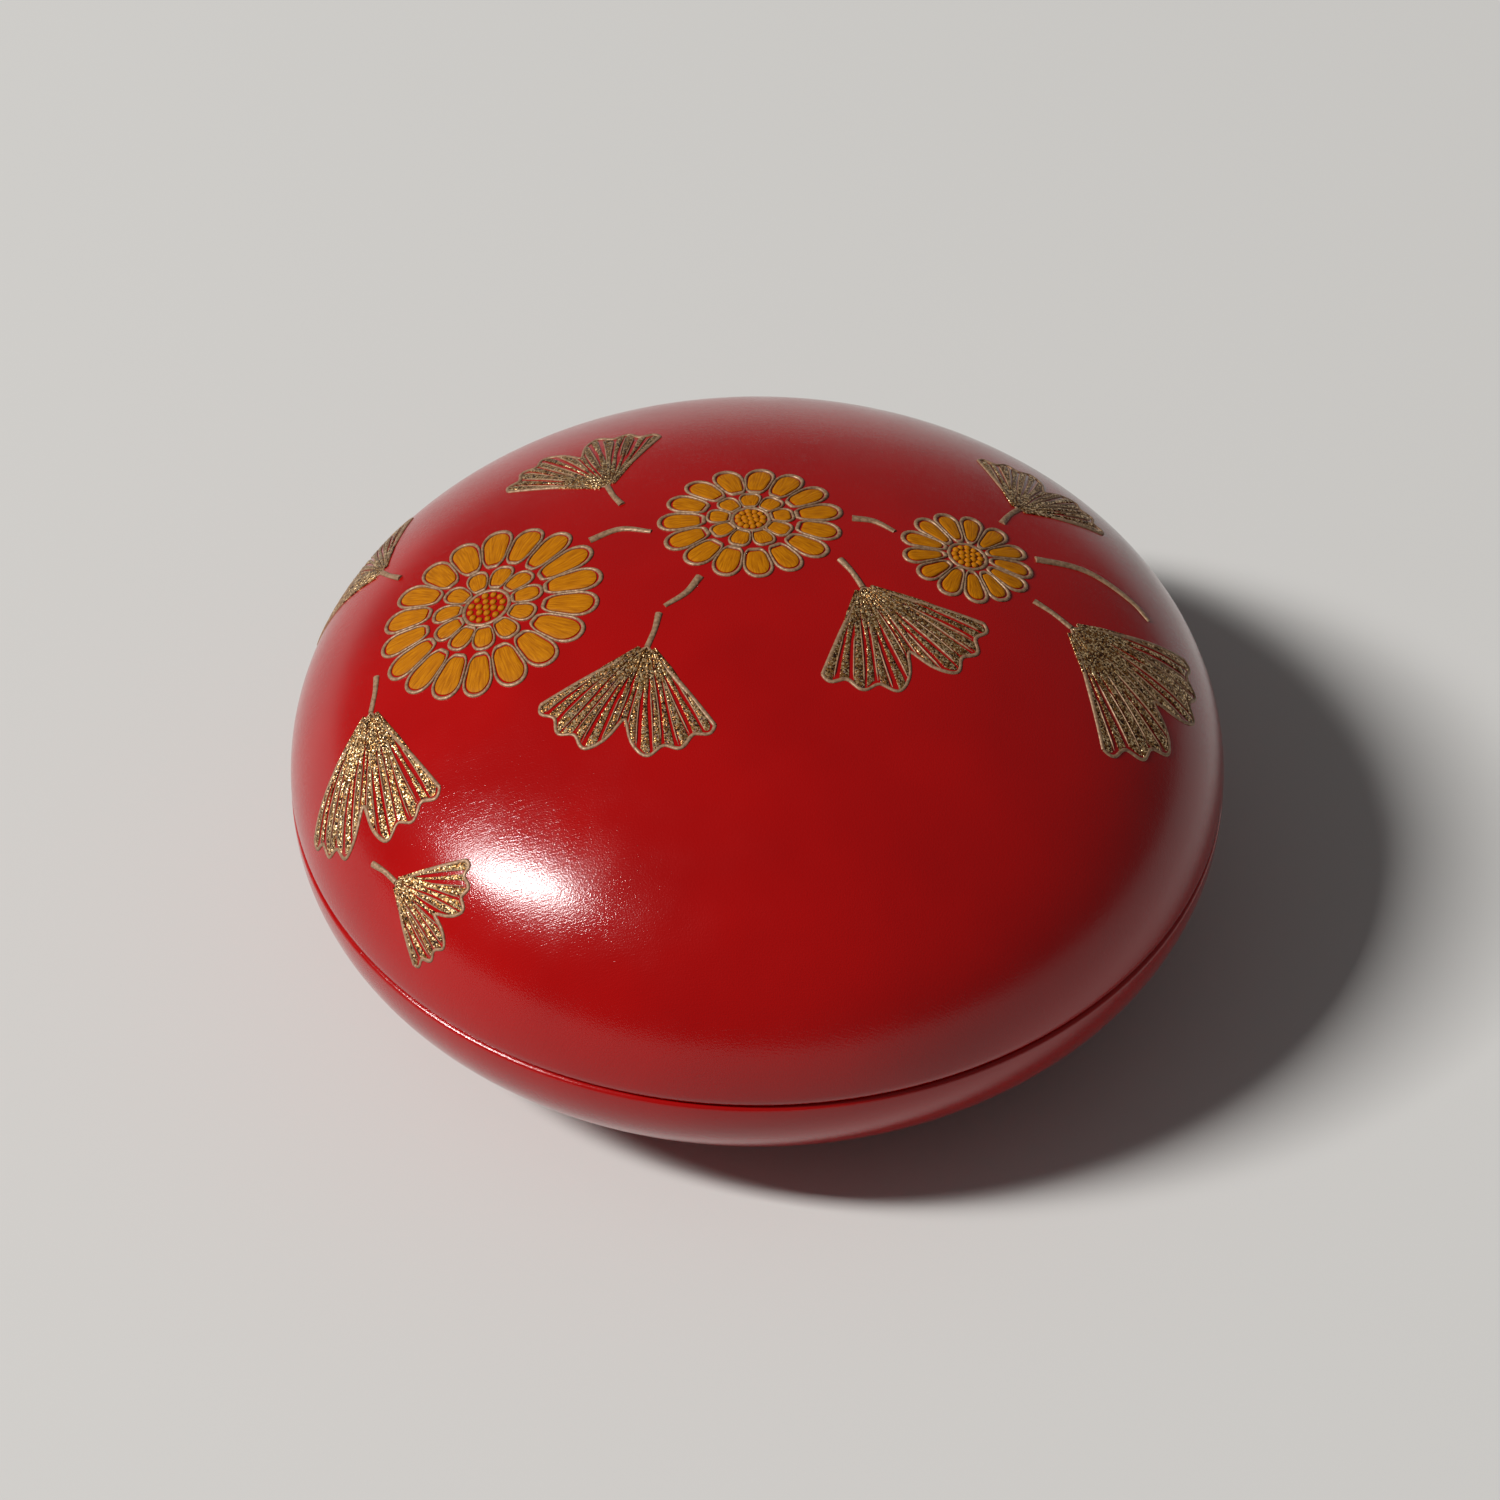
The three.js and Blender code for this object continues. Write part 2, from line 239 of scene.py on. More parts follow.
@dataclass(frozen=True)
class RedLacquer(Lacquer):
    """Vermilion lacquer, rubbed to a satin gloss by hand."""

    deep: Colour = srgb(148, 1, 1)
    bright: Colour = srgb(161, 3, 2)
    contrast: Pair = (0.3, 0.7)
    clouds: float = 70.0
    roughness: Pair = (0.12, 0.2)
    polish: float = 260.0
    pores: float = 7600.0  # to the metre
    pore_depth: float = 0.018 * MM
    glaze_depth: float = 0.006 * MM  # of the pores in the top glaze, which fills most of them
    rub_grain: Triple = (700.0, 14000.0, 700.0)  # hairlines of rubbing to the metre, by axis
    rub_turns: Pair = (0.6, -0.85)  # directions of two sets of hairlines
    rub_depth: float = 0.006 * MM

    def material(self) -> bpy.types.Material:
        """Makes the finish.

        Returns:
            The material.
        """
        sheet = NodeSheet("red_lacquer")
        self.patches(sheet)
        pores = sheet.noise(sheet.place(), self.pores, detail=1)
        rubbed = sheet.bump(pores, self.pore_depth)
        for turn in self.rub_turns:
            hairlines = sheet.noise(sheet.place(self.rub_grain, (0, 0, turn)), scale=1, detail=0)
            rubbed = sheet.bump(hairlines, self.rub_depth, Normal=rubbed)
        glaze = sheet.bump(pores, self.glaze_depth)
        sheet.finish(Coat_Weight=0.4, Coat_Roughness=0.18, Coat_IOR=1.4, Coat_Normal=glaze)
        return sheet.finish(Normal=rubbed, Specular_IOR_Level=0.28)


@dataclass(frozen=True)
class BlackLacquer(Lacquer):
    """Black lacquer with the faint rings of its turning."""

    deep: Colour = srgb(13, 9, 8)
    bright: Colour = srgb(24, 17, 14)
    contrast: Pair = (0.35, 0.65)
    clouds: float = 90.0
    roughness: Pair = (0.14, 0.24)
    polish: float = 300.0
    rings: float = 2600.0  # turned rings to the metre
    ring_depth: float = 0.0015 * MM

    def material(self) -> bpy.types.Material:
        """Makes the finish.

        Returns:
            The material.
        """
        sheet = NodeSheet("black_lacquer")
        self.patches(sheet)
        radius = sheet.vector("LENGTH", {0: sheet.place((1, 1, 0))}, "Value")
        turned = {"W": radius, "Scale": self.rings, "Detail": 1.0}
        rings = sheet.add("TexNoise", turned, noise_dimensions="1D").outputs["Fac"]
        return sheet.finish(Normal=sheet.bump(rings, self.ring_depth))


@dataclass(frozen=True)
class TurnedWood:
    """Bare, fine-grained wood of the cores."""

    early: Colour = srgb(196, 154, 106)  # early wood
    late: Colour = srgb(150, 106, 64)  # late wood
    rings: float = 420.0  # growth rings to the metre
    grain: Triple = (1, 0.12, 1)  # how closely they lie along each axis
    lean: Triple = (0.1, 0.05, 0)  # of the trunk against the box
    pores: Triple = (4000.0, 300.0, 4000.0)  # to the metre along each axis
    pore_depth: float = 0.02 * MM

    def material(self) -> bpy.types.Material:
        """Makes the finish.

        Returns:
            The material.
        """
        sheet = NodeSheet("turned_wood")
        along = sheet.place(self.grain, self.lean)
        waves = {"Vector": along, "Scale": self.rings, "Distortion": 5.0, "Detail": 3.0}
        rings = sheet.add("TexWave", waves).outputs["Fac"]
        colour = sheet.ramp(rings, (0.2, self.early), (0.9, self.late))
        normal = sheet.bump(sheet.noise(sheet.place(self.pores), scale=1), self.pore_depth)
        return sheet.finish(Base_Color=colour, Roughness=0.75, Normal=normal)


@dataclass(frozen=True)
class AmberGold:
    """Amber gold laid on with a brush, whose strokes run along each petal."""

    shade: Colour = srgb(146, 82, 1)  # painted shade between the strokes, where they lie lower
    body: Colour = srgb(170, 101, 2)
    light: Colour = srgb(188, 118, 4)  # painted light on top of the strokes
    strokes: Triple = (3.25, 16.9, 1.0)  # breaks along a petal, and strokes across it
    stroke_depth: float = 0.03 * MM
    grain: float = 2600.0  # to the metre
    grain_depth: float = 0.01 * MM
    roughness: Pair = (0.48, 0.62)

    def material(self) -> bpy.types.Material:
        """Makes the finish.

        Returns:
            The material.
        """
        sheet = NodeSheet("amber_gold")
        petal = sheet.add("UVMap", {}).outputs["UV"]
        drawn = sheet.add("Mapping", {"Vector": petal, "Scale": self.strokes})
        streak = sheet.noise(drawn.outputs["Vector"], scale=1, detail=4)
        grain = sheet.noise(sheet.place(), self.grain)
        # the strokes' height also sets the colour: painted shade in their grooves, painted light on
        # their tops
        colour = sheet.ramp(streak, (0.3, self.shade), (0.5, self.body), (0.72, self.light))
        rough = sheet.spread(grain, self.roughness)
        grains = sheet.bump(grain, self.grain_depth)
        normal = sheet.bump(streak, self.stroke_depth, Normal=grains)
        sheet.finish(Base_Color=colour, Roughness=rough, Normal=normal)
        return sheet.finish(Specular_IOR_Level=0.1)


@dataclass(frozen=True)
class GoldPowder:
    """Coarse gold flakes, sprinkled so that each lies at its own tilt."""

    flakes: float = 8600.0  # to the metre
    tilt: float = 0.9
    level: Triple = (0.5, 0.5, 0.5)  # chance at which a flake lies flat
    sink: float = 0.02 * MM  # of their edges below their middles
    hollow: Colour = srgb(38, 11, 4)  # where lacquer shows between them, darkened with painted shade
    dull: Colour = srgb(116, 72, 28)
    body: Colour = srgb(168, 120, 62)
    # painted glint: the brightest flakes, coloured as if they caught the lamp
    painted_glint: Colour = srgb(255, 224, 172)
    roughness: Pair = (0.28, 0.5)

    def material(self) -> bpy.types.Material:
        """Makes the finish.

        Returns:
            The material.
        """
        sheet = NodeSheet("gold_powder")
        cells = sheet.add("TexVoronoi", {"Vector": sheet.place(), "Scale": self.flakes})
        chance = cells.outputs["Color"]
        parts = sheet.add("SeparateColor", {"Color": chance}).outputs
        # flakes take these colours at random; the darkest are lacquer darkened with painted shade,
        # the brightest are painted glints
        tones = (0.14, self.hollow), (0.36, self.dull), (0.66, self.body), (0.92, self.painted_glint)
        colour = sheet.ramp(parts["Red"], *tones)
        lean = sheet.vector("SUBTRACT", {0: chance, 1: self.level})
        lean = sheet.vector("SCALE", {0: lean, "Scale": self.tilt})
        surface = sheet.add("NewGeometry", {}).outputs["Normal"]
        flake = sheet.vector("NORMALIZE", {0: sheet.vector("ADD", {0: surface, 1: lean})})
        normal = sheet.bump(cells.outputs["Distance"], -self.sink, Normal=flake)
        rough = sheet.spread(parts["Green"], self.roughness)
        return sheet.finish(Base_Color=colour, Roughness=rough, Normal=normal, Metallic=0.7)


@dataclass(frozen=True)
class PaleGold:
    """Fine, greyish gold powder on the raised lines."""

    shade: Colour = srgb(124, 92, 66)  # painted shade in the hollows of its grain
    light: Colour = srgb(172, 138, 106)  # painted light on top of its grain
    grain: float = 3800.0  # to the metre
    grain_depth: float = 0.03 * MM
    roughness: Pair = (0.62, 0.45)  # in the hollows, and on top

    def material(self) -> bpy.types.Material:
        """Makes the finish.

        Returns:
            The material.
        """
        sheet = NodeSheet("pale_gold")
        grain = sheet.noise(sheet.place(), self.grain)
        # the grain's height also sets the colour: painted shade in its hollows, painted light on its
        # tops
        colour = sheet.ramp(grain, (0.32, self.shade), (0.68, self.light))
        rough = sheet.spread(grain, self.roughness)
        normal = sheet.bump(grain, self.grain_depth)
        return sheet.finish(Base_Color=colour, Roughness=rough, Normal=normal, Metallic=0.3)


class Finishes:
    """Every finish of the box, made once."""

    def __init__(self) -> None:
        """Makes the materials."""
        self.made = {
            Slot.RED: RedLacquer().material(),
            Slot.BLACK: BlackLacquer().material(),
            Slot.WOOD: TurnedWood().material(),
            Slot.AMBER: AmberGold().material(),
            Slot.POWDER: GoldPowder().material(),
            Slot.PALE: PaleGold().material(),
        }

    def dress(self, piece: Piece, slot: Slot) -> None:
        """Gives a piece one finish all over.

        Args:
            piece: The piece.
            slot: The finish that it takes.
        """
        piece.data.materials.clear()
        piece.data.materials.append(self.made[slot])
        log.info("%s: %d faces in %s", piece.name, len(piece.data.polygons), slot.value)

    def hand_over(self, piece: Piece, body: Body, slot: Slot, *nodes: str) -> None:
        """Turns a finished piece's faces outwards, dresses it and puts it on its body.

        Args:
            piece: The piece.
            body: The half that it moves with.
            slot: The finish that it takes.
            *nodes: CAD nodes that it stands for.
        """
        end(edit(piece))
        self.dress(piece, slot)
        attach(piece, body.value)
        if nodes:
            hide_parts(*nodes)


def select_only(pieces: Sequence[Piece]) -> None:
    """Selects pieces and nothing else, and makes the first of them the active one.

    Args:
        pieces: The pieces.
    """
    bpy.ops.object.select_all(action="DESELECT")
    for piece in pieces:
        piece.select_set(True)
    bpy.context.view_layer.objects.active = pieces[0]


def rename(piece: Piece, name: str) -> Piece:
    """Names a piece and its mesh, and gives it back."""
    piece.name = piece.data.name = name
    return piece


def edit(piece: Piece) -> Piece:
    """Opens a piece in edit mode with all of it selected.

    Args:
        piece: The piece.

    Returns:
        The piece.
    """
    select_only([piece])
    bpy.ops.object.mode_set(mode="EDIT")
    bpy.ops.mesh.select_all(action="SELECT")
    return piece


def add(name: str, operator: Callable, **sizes: object) -> Piece:
    """Adds an object, which is then the only one selected.

    Args:
        name: Its name.
        operator: The bpy.ops operator that adds it.
        **sizes: What the operator takes.

    Returns:
        The new object.
    """
    bpy.ops.object.select_all(action="DESELECT")
    operator(**sizes)
    return rename(bpy.context.object, name)


def end(piece: Piece) -> Piece:
    """Turns every face of a piece in edit mode outwards, and leaves that mode.

    Args:
        piece: The piece.

    Returns:
        The piece.
    """
    bpy.ops.mesh.select_all(action="SELECT")
    bpy.ops.mesh.normals_make_consistent(inside=False)
    bpy.ops.object.mode_set(mode="OBJECT")
    return piece


def choose(piece: Piece, kind: Kind, wanted: Callable[[Element], bool]) -> None:
    """Selects, in edit mode, the corners or faces that pass a test, and no others.

    Args:
        piece: The piece.
        kind: Whether corners or faces are selected.
        wanted: The test.
    """
    bpy.ops.mesh.select_mode(type=kind.value)
    bpy.ops.mesh.select_all(action="DESELECT")
    shape = bmesh.from_edit_mesh(piece.data)
    for element in shape.verts if kind is Kind.CORNER else shape.faces:
        element.select_set(wanted(element))
    bmesh.update_edit_mesh(piece.data)


def pick(piece: Piece, zone: Zone) -> None:
    """Selects, in edit mode, the faces of one zone and no others."""
    choose(piece, Kind.FACE, lambda face: face.material_index == zone)


def mark(piece: Piece, zone: Zone) -> None:
    """Marks the faces selected in edit mode as one zone.

    Args:
        piece: The piece.
        zone: The zone.
    """
    for face in bmesh.from_edit_mesh(piece.data).faces:
        if face.select:
            face.material_index = zone
    bmesh.update_edit_mesh(piece.data)


def raise_faces(height: float) -> None:
    """Extrudes the selected faces upwards."""
    bpy.ops.mesh.extrude_region_move(TRANSFORM_OT_translate={"value": (0, 0, height)})


def apply(piece: Piece, kind: str, **settings: object) -> None:
    """Adds a modifier to a piece and applies it.

    Args:
        piece: The piece.
        kind: Type of the modifier.
        **settings: Its settings.
    """
    bpy.context.view_layer.objects.active = piece
    modifier = piece.modifiers.new(kind.lower(), kind)
    for name, value in settings.items():
        setattr(modifier, name, value)
    bpy.ops.object.modifier_apply(modifier=modifier.name)


def repeat(piece: Piece, count: int, pitch: float, **settings: object) -> None:
    """Repeats a piece along Y, with other settings of the array if there are any."""
    step = {"use_constant_offset": True, "constant_offset_displace": (0, pitch, 0)}
    apply(piece, "ARRAY", count=count, use_relative_offset=False, **step, **settings)


def copy_to(piece: Piece, spot: np.ndarray, scale: float) -> Piece:
    """Copies a piece with a mesh of its own.

    Args:
        piece: The piece, modelled at the origin.
        spot: Where the copy goes.
        scale: Its size against the piece's.

    Returns:
        The copy.
    """
    twin = piece.copy()
    twin.data = piece.data.copy()
    bpy.context.collection.objects.link(twin)
    twin.data.transform(Matrix.Translation(spot) @ Matrix.Scale(scale, 4))
    return twin


def join(name: str, pieces: Sequence[Piece]) -> Piece:
    """Joins pieces of one finish into one.

    Args:
        name: Name of the joined piece.
        pieces: The pieces.

    Returns:
        The joined piece.
    """
    select_only(pieces)
    bpy.ops.object.join()
    return rename(bpy.context.object, name)


def smooth(piece: Piece, degrees: float) -> None:
    """Shades a piece smooth where its faces meet at less than an angle."""
    select_only([piece])
    bpy.ops.object.shade_smooth_by_angle(angle=math.radians(degrees))


def remap(piece: Piece, move: Callable[[np.ndarray], np.ndarray]) -> None:
    """Moves every corner of a piece.

    Args:
        piece: The piece.
        move: Takes the corners, one to a row, and gives their new places.
    """
    flat = np.empty(len(piece.data.vertices) * 3)
    piece.data.vertices.foreach_get("co", flat)
    piece.data.vertices.foreach_set("co", move(flat.reshape(-1, 3)).ravel())
    piece.data.update()


def tell_apart(places: np.ndarray, pitch: float) -> tuple[np.ndarray, np.ndarray]:
    """Which copy of a row each point belongs to, and how far it lies from that copy's middle."""
    index = np.round(places / pitch)
    return index, places - index * pitch


def wander(index: np.ndarray, seed: float, span: Pair) -> np.ndarray:
    """A steady but irregular number within a span for each index."""
    chance = np.modf(np.abs(np.sin(index * HASH_STEP + seed)) * HASH_SCALE)[0]
    return span[0] + (span[1] - span[0]) * chance


def grow(way: np.ndarray, over: float, least: float) -> np.ndarray:
    """Share of full size on a way: full past its first stretch, and never under the least."""
    return np.clip(way / over, least, 1)


def polar(radius: np.ndarray | float, angle: np.ndarray, lift: np.ndarray | float) -> np.ndarray:
    """Points, one to a row, by radius, angle and height."""
    spots = radius * np.cos(angle), radius * np.sin(angle), lift
    return np.column_stack(np.broadcast_arrays(*spots))


@dataclass
class Dome:
    """Half a section of a dome that rises plumb from its rim.

    A crown arc, centred on the axis, and a shoulder arc set how it bends, and the bend eases from
    the one to the other.
    """

    radius: float  # at the rim
    height: float  # from the rim to the top
    shoulder: float  # radius of the shoulder arc
    rim: float  # height of the rim in the frame
    up: int = 1  # -1 for a bowl
    ease: float = 0.85  # share of the shorter arc over which the bend eases
    count: int = 400  # stations along the section

    def __post_init__(self) -> None:
        """Walks down the section from the top, and stretches the walk to the exact size."""
        rise = self.height - self.shoulder
        crown = (self.radius**2 - 2 * self.radius * self.shoulder + self.height**2) / (2 * rise)
        meeting = math.atan2(self.radius - self.shoulder, crown - self.height)
        crown_length, shoulder_length = crown * meeting, self.shoulder * (math.pi / 2 - meeting)
        ease = self.ease * min(crown_length, shoulder_length)
        stride = (crown_length + shoulder_length) / self.count
        along = (np.arange(self.count) + 0.5) * stride
        change = np.clip((along - crown_length + ease) / (2 * ease), 0, 1)
        change = change**2 * (3 - 2 * change)
        lean = self._summed(stride * (1 / crown + (1 / self.shoulder - 1 / crown) * change))
        heading = (lean[1:] + lean[:-1]) / 2
        out, drop = self._summed(stride * np.cos(heading)), self._summed(stride * np.sin(heading))
        widen, deepen = self.radius / out[-1], self.height / drop[-1]
        self.share = np.linspace(0, 1, self.count + 1)
        self.out, self.tall = out * widen, self.height - drop * deepen
        self.lean = np.arctan2(np.sin(lean) * deepen, np.cos(lean) * widen)
        self.pace = self.share + self.lean / (math.pi / 2)
        self.meridian = float(np.hypot(np.diff(self.out), np.diff(self.tall)).sum())

    @staticmethod
    def _summed(steps: np.ndarray) -> np.ndarray:
        """Running total that starts at 0."""
        return np.concatenate([[0.0], np.cumsum(steps)])

    def look(self, share: np.ndarray, lift: np.ndarray | float) -> tuple[np.ndarray, np.ndarray]:
        """Looks up points of the section.

        Args:
            share: Shares of the way from the top to the rim.
            lift: How far the points stand off the surface.

        Returns:
            Their radii and their heights in the frame.
        """
        lean = np.interp(share, self.share, self.lean)
        out = np.interp(share, self.share, self.out) + lift * np.sin(lean)
        tall = np.interp(share, self.share, self.tall) + lift * np.cos(lean)
        return out, self.level(tall)

    def level(self, height: Height) -> Height:
        """Frame height of a height above the rim."""
        return self.rim + self.up * height

    def section(self, depth: float, upper: float, lower: float, steps: int = 60) -> Profile:
        """The surface sunk by depth.

        Args:
            depth: How far the surface lies inside the dome.
            upper: Height above the rim at which it starts.
            lower: Height above the rim at which it ends.
            steps: Steps along it, evened out between its length and its turn.

        Returns:
            Radius and frame height of each point.
        """
        sunk = self.tall - depth * np.cos(self.lean)
        first, last = np.interp([-upper, -lower], -sunk, self.pace)
        shares = np.interp(np.linspace(first, last, steps + 1), self.pace, self.share)
        return list(zip(*self.look(shares, -depth)))

    def from_top(self, depth: float, lower: float) -> Profile:
        """The section that starts on the axis."""
        points = self.section(depth, self.height - depth, lower)
        return [(0.0, points[0][1]), *points[1:]]

    def lay(self, flat: np.ndarray) -> np.ndarray:
        """Lays a flat drawing on the dome.

        Args:
            flat: Points of the drawing; its centre goes to the top, and a point's distance from
                there is kept along the surface. The third column is the lift off the surface.

        Returns:
            The points in the frame.
        """
        share = np.hypot(flat[:, 0], flat[:, 1]) / self.meridian
        out, tall = self.look(share, flat[:, 2])
        return polar(out, np.arctan2(flat[:, 1], flat[:, 0]), tall)


def turn_profile(name: str, profile: Profile, soften: float, steps: int = 192) -> Piece:
    """Turns a profile about the box's axis.

    Args:
        name: Name of the piece.
        profile: Radius and height of each point, from axis to axis or once round a section.
        soften: Width of the round on its sharp edges.
        steps: Steps of the turn.

    Returns:
        The turned piece.
    """
    piece = edit(add(name, bpy.ops.mesh.primitive_plane_add, size=MM))
    bpy.ops.mesh.merge(type="CENTER")
    bpy.ops.transform.translate(value=(profile[0][0], 0, profile[0][1]))
    for (from_r, from_z), (to_r, to_z) in zip(profile, profile[1:]):
        move = (to_r - from_r, 0, to_z - from_z)
        bpy.ops.mesh.extrude_region_move(TRANSFORM_OT_translate={"value": move})
    bpy.ops.mesh.select_all(action="SELECT")
    bpy.ops.mesh.spin(steps=steps, angle=FULL_TURN, center=CENTRE, axis=(0, 0, 1))
    bpy.ops.mesh.select_all(action="SELECT")
    bpy.ops.mesh.remove_doubles(threshold=WELD)
    end(piece)
    sharp = {"limit_method": "ANGLE", "angle_limit": SHARP_EDGE}
    apply(piece, "BEVEL", width=soften, segments=3, **sharp)
    smooth(piece, TURNED_CREASE)
    return piece


@dataclass(frozen=True)
class Layers:
    """Thicknesses that the lid and the base have in common."""

    wall: float = 3.0 * MM
    outer: float = 0.45 * MM  # outer lacquer
    inner: float = 0.35 * MM  # inner lacquer
    bond: float = 0.05 * MM  # glue between two layers
    edge: float = 0.12 * MM  # round on the edges of the lacquers


@dataclass
class Half:
    """What the lid and the base have in common: layers of lacquer on a turned core."""

    finishes: Finishes
    layers: Layers = Layers()
    edge_steps: int = 12  # points along the round on its rim

    def outer_profile(
        self, dome: Dome, top: float | None, lip: float, edge: Pair, drop: float
    ) -> Profile:
        """Outer lacquer.

        Args:
            dome: Its outside.
            top: Height above the rim at which it ends, or None if it closes over the top.
            lip: Radius to which it covers the rim.
            edge: Width and height of the round on the rim.
            drop: How far it hangs past the rim's own face.

        Returns:
            The profile.
        """
        coat = self.layers.outer
        wide, tall = edge
        face = -coat - drop
        wall = max(face + tall, 0.0)
        if top is None:
            outside, inside = dome.from_top(0, wall), dome.from_top(coat, 0)
        else:
            outside, inside = dome.section(0, top, wall), dome.section(coat, top, 0)
        reach = outside[-1][0] - wide
        arc = np.linspace(0, math.pi / 2, self.edge_steps)
        levels = dome.level(face + tall * (1 - np.sin(arc)))
        rim = [*zip(reach + wide * np.cos(arc), levels)]
        profile = outside + rim + [(lip, dome.level(face)), (lip, dome.level(0))] + inside[::-1]
        return profile if top is None else profile + profile[:1]

    def inner_profile(self, dome: Dome, depth: float, bore: float, ledge: float) -> Profile:
        """Inner lacquer, over the bore, the ledge and the hollow.

        Args:
            dome: What the hollow follows.
            depth: How far the hollow lies inside it.
            bore: Radius at which the flange fits.
            ledge: Height of the bore's end above the dome's rim.

        Returns:
            The profile.
        """
        sides = []
        for coat in (self.layers.inner, 0.0):
            hollow = dome.from_top(depth - coat, ledge + coat)
            ends = (ledge + coat, -self.layers.outer)
            sides.append(hollow + [(bore + coat, dome.level(height)) for height in ends])
        back, face = sides
        return back + face[::-1]

    def lay_coat(self, name: str, profile: Profile, body: Body, slot: Slot, node: str) -> None:
        """Turns a lacquer, and hands it over for the CAD node that it stands for."""
        piece = turn_profile(name, profile, self.layers.edge)
        self.finishes.hand_over(piece, body, slot, node)


@dataclass
class Lid(Half):
    """The domed lid. Sizes that the frame shows are read from it; the rest are its own."""

    shoulder: float = 13.65 * MM
    edge: Pair = (0.3 * MM, 0.9 * MM)  # width and height of the round on its rim
    drop: float = 0.12 * MM  # how far its red lacquer hangs past the rim's own face
    near: float = 0.02 * MM  # corners of the frame as near as this to the bore lie on it

    def __post_init__(self) -> None:
        """Reads the frame and sets out the dome."""
        low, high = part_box("lid_outer_lacquer")
        self.rim = low.z
        spring = self.rim + self.layers.outer
        self.dome = Dome(high.x, high.z - spring, self.shoulder, spring)
        self.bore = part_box("lid_inner_lacquer")[1].x - self.layers.inner

    def ledge(self) -> float:
        """Finds the ledge over the flange by the frame's own corners.

        Returns:
            Its height above the dome's rim.
        """
        corners = [vertex.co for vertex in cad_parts["lid_inner_lacquer"].data.vertices]
        heights = [c.z for c in corners if abs(math.hypot(c.x, c.y) - self.bore) < self.near]
        return max(heights) - self.dome.rim

    def build(self) -> None:
        """Lays its lacquers over its core."""
        lip = self.bore + self.layers.inner + self.layers.bond
        outer = self.outer_profile(self.dome, None, lip, self.edge, self.drop)
        self.lay_coat("lid_red_coat", outer, Body.LID, Slot.RED, "lid_outer_lacquer")
        inner = self.inner_profile(self.dome, self.layers.wall, self.bore, self.ledge())
        self.lay_coat("lid_black_lining", inner, Body.LID, Slot.BLACK, "lid_inner_lacquer")
        self.finishes.dress(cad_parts["lid_core"], Slot.WOOD)


@dataclass
class Base(Half):
    """The bowl-shaped base. Sizes that the frame shows are read from it; the rest are its own."""

    bowl_shoulder: float = 10.8 * MM
    bowl_depth: float = 16.5 * MM  # to where its bowl would end without a foot
    well_shoulder: float = 9.0 * MM
    well_depth: float = 11.6 * MM
    edge: Pair = (0.6 * MM, 0.4 * MM)  # width and height of the round on its rim
    foot_ring: float = 2.6 * MM  # width of its foot ring
    foot_recess: float = 0.7 * MM  # depth of the hollow inside the foot ring
    foot_steps: int = 6  # up the outside of the foot ring

    def __post_init__(self) -> None:
        """Reads the frame and sets out the bowl and its well."""
        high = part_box("base_outer_lacquer")[1]
        coat = self.layers.outer
        self.rim, self.spring = high.z, high.z - coat
        self.socket = high.x - self.layers.wall
        bowl, well = self.bowl_depth - coat, self.well_depth - coat
        self.bowl = Dome(high.x, bowl, self.bowl_shoulder, self.spring, up=-1)
        self.well = Dome(self.socket, well, self.well_shoulder, self.spring, up=-1)

    def build(self) -> None:
        """Lays its lacquers over its core."""
        top = self.spring - self.layers.outer - self.layers.bond
        lip = self.socket + self.layers.inner + self.layers.bond
        outer = self.outer_profile(self.bowl, top, lip, self.edge, drop=0.0)
        self.lay_coat("base_red_coat", outer, Body.BASE, Slot.RED, "base_outer_lacquer")
        ledge = self.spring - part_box("rim_flange")[0].z + self.layers.bond
        inner = self.inner_profile(self.well, 0, self.socket, ledge)
        self.lay_coat("base_black_well", inner, Body.BASE, Slot.BLACK, "base_inner_lacquer")
        foot, node = self.foot_profile(), "base_underside_lacquer"
        self.lay_coat("base_black_underside", foot, Body.BASE, Slot.BLACK, node)
        self.finishes.dress(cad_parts["base_core"], Slot.WOOD)

    def foot_profile(self) -> Profile:
        """Lacquer of the foot ring and of the hollow inside it.

        Returns:
            The profile.
        """
        coat, hollow = self.layers.outer, self.foot_recess
        edge = self.bowl.section(0, self.spring, self.spring - coat, self.foot_steps)
        recess = edge[0][0] - self.foot_ring
        below = [(0.0, hollow), (recess, hollow), (recess, 0.0)]
        above = [(recess + coat, coat), (recess + coat, coat + hollow), (0.0, coat + hollow)]
        return [*below, *edge, *above]


@dataclass
class Flange:
    """The ring, glued into the base, that guides the lid."""

    finishes: Finishes
    wall: float = 1.5 * MM
    edge: float = 0.45 * MM  # round on its edges

    def build(self) -> None:
        """Turns the ring."""
        low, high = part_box("rim_flange")
        inside, outside = high.x - self.wall, high.x
        start = (inside, low.z)
        section = [start, (outside, low.z), (outside, high.z), (inside, high.z), start]
        piece = turn_profile("flange_ring", section, self.edge)
        self.finishes.hand_over(piece, Body.BASE, Slot.BLACK, "rim_flange")


def even(points: Route, count: int) -> list[Pair]:
    """A smooth line through a few points, as evenly spaced ones.

    Args:
        points: Points that the line passes.
        count: Number of steps along it.

    Returns:
        Points along the line, both ends included.
    """
    knots = np.array(points, float)
    padded = np.vstack([2 * knots[0] - knots[1], knots, 2 * knots[-1] - knots[-2]])
    line = []
    for t in np.linspace(0, len(knots) - 1, count + 1):
        k = min(int(t), len(knots) - 2)
        u = t - k
        a, b, c, d = padded[k : k + 4]
        bend = 2 * b + (c - a) * u + (2 * a - 5 * b + 4 * c - d) * u**2
        line.append(tuple((bend + (3 * b - a - 3 * c + d) * u**3) / 2))
    return line


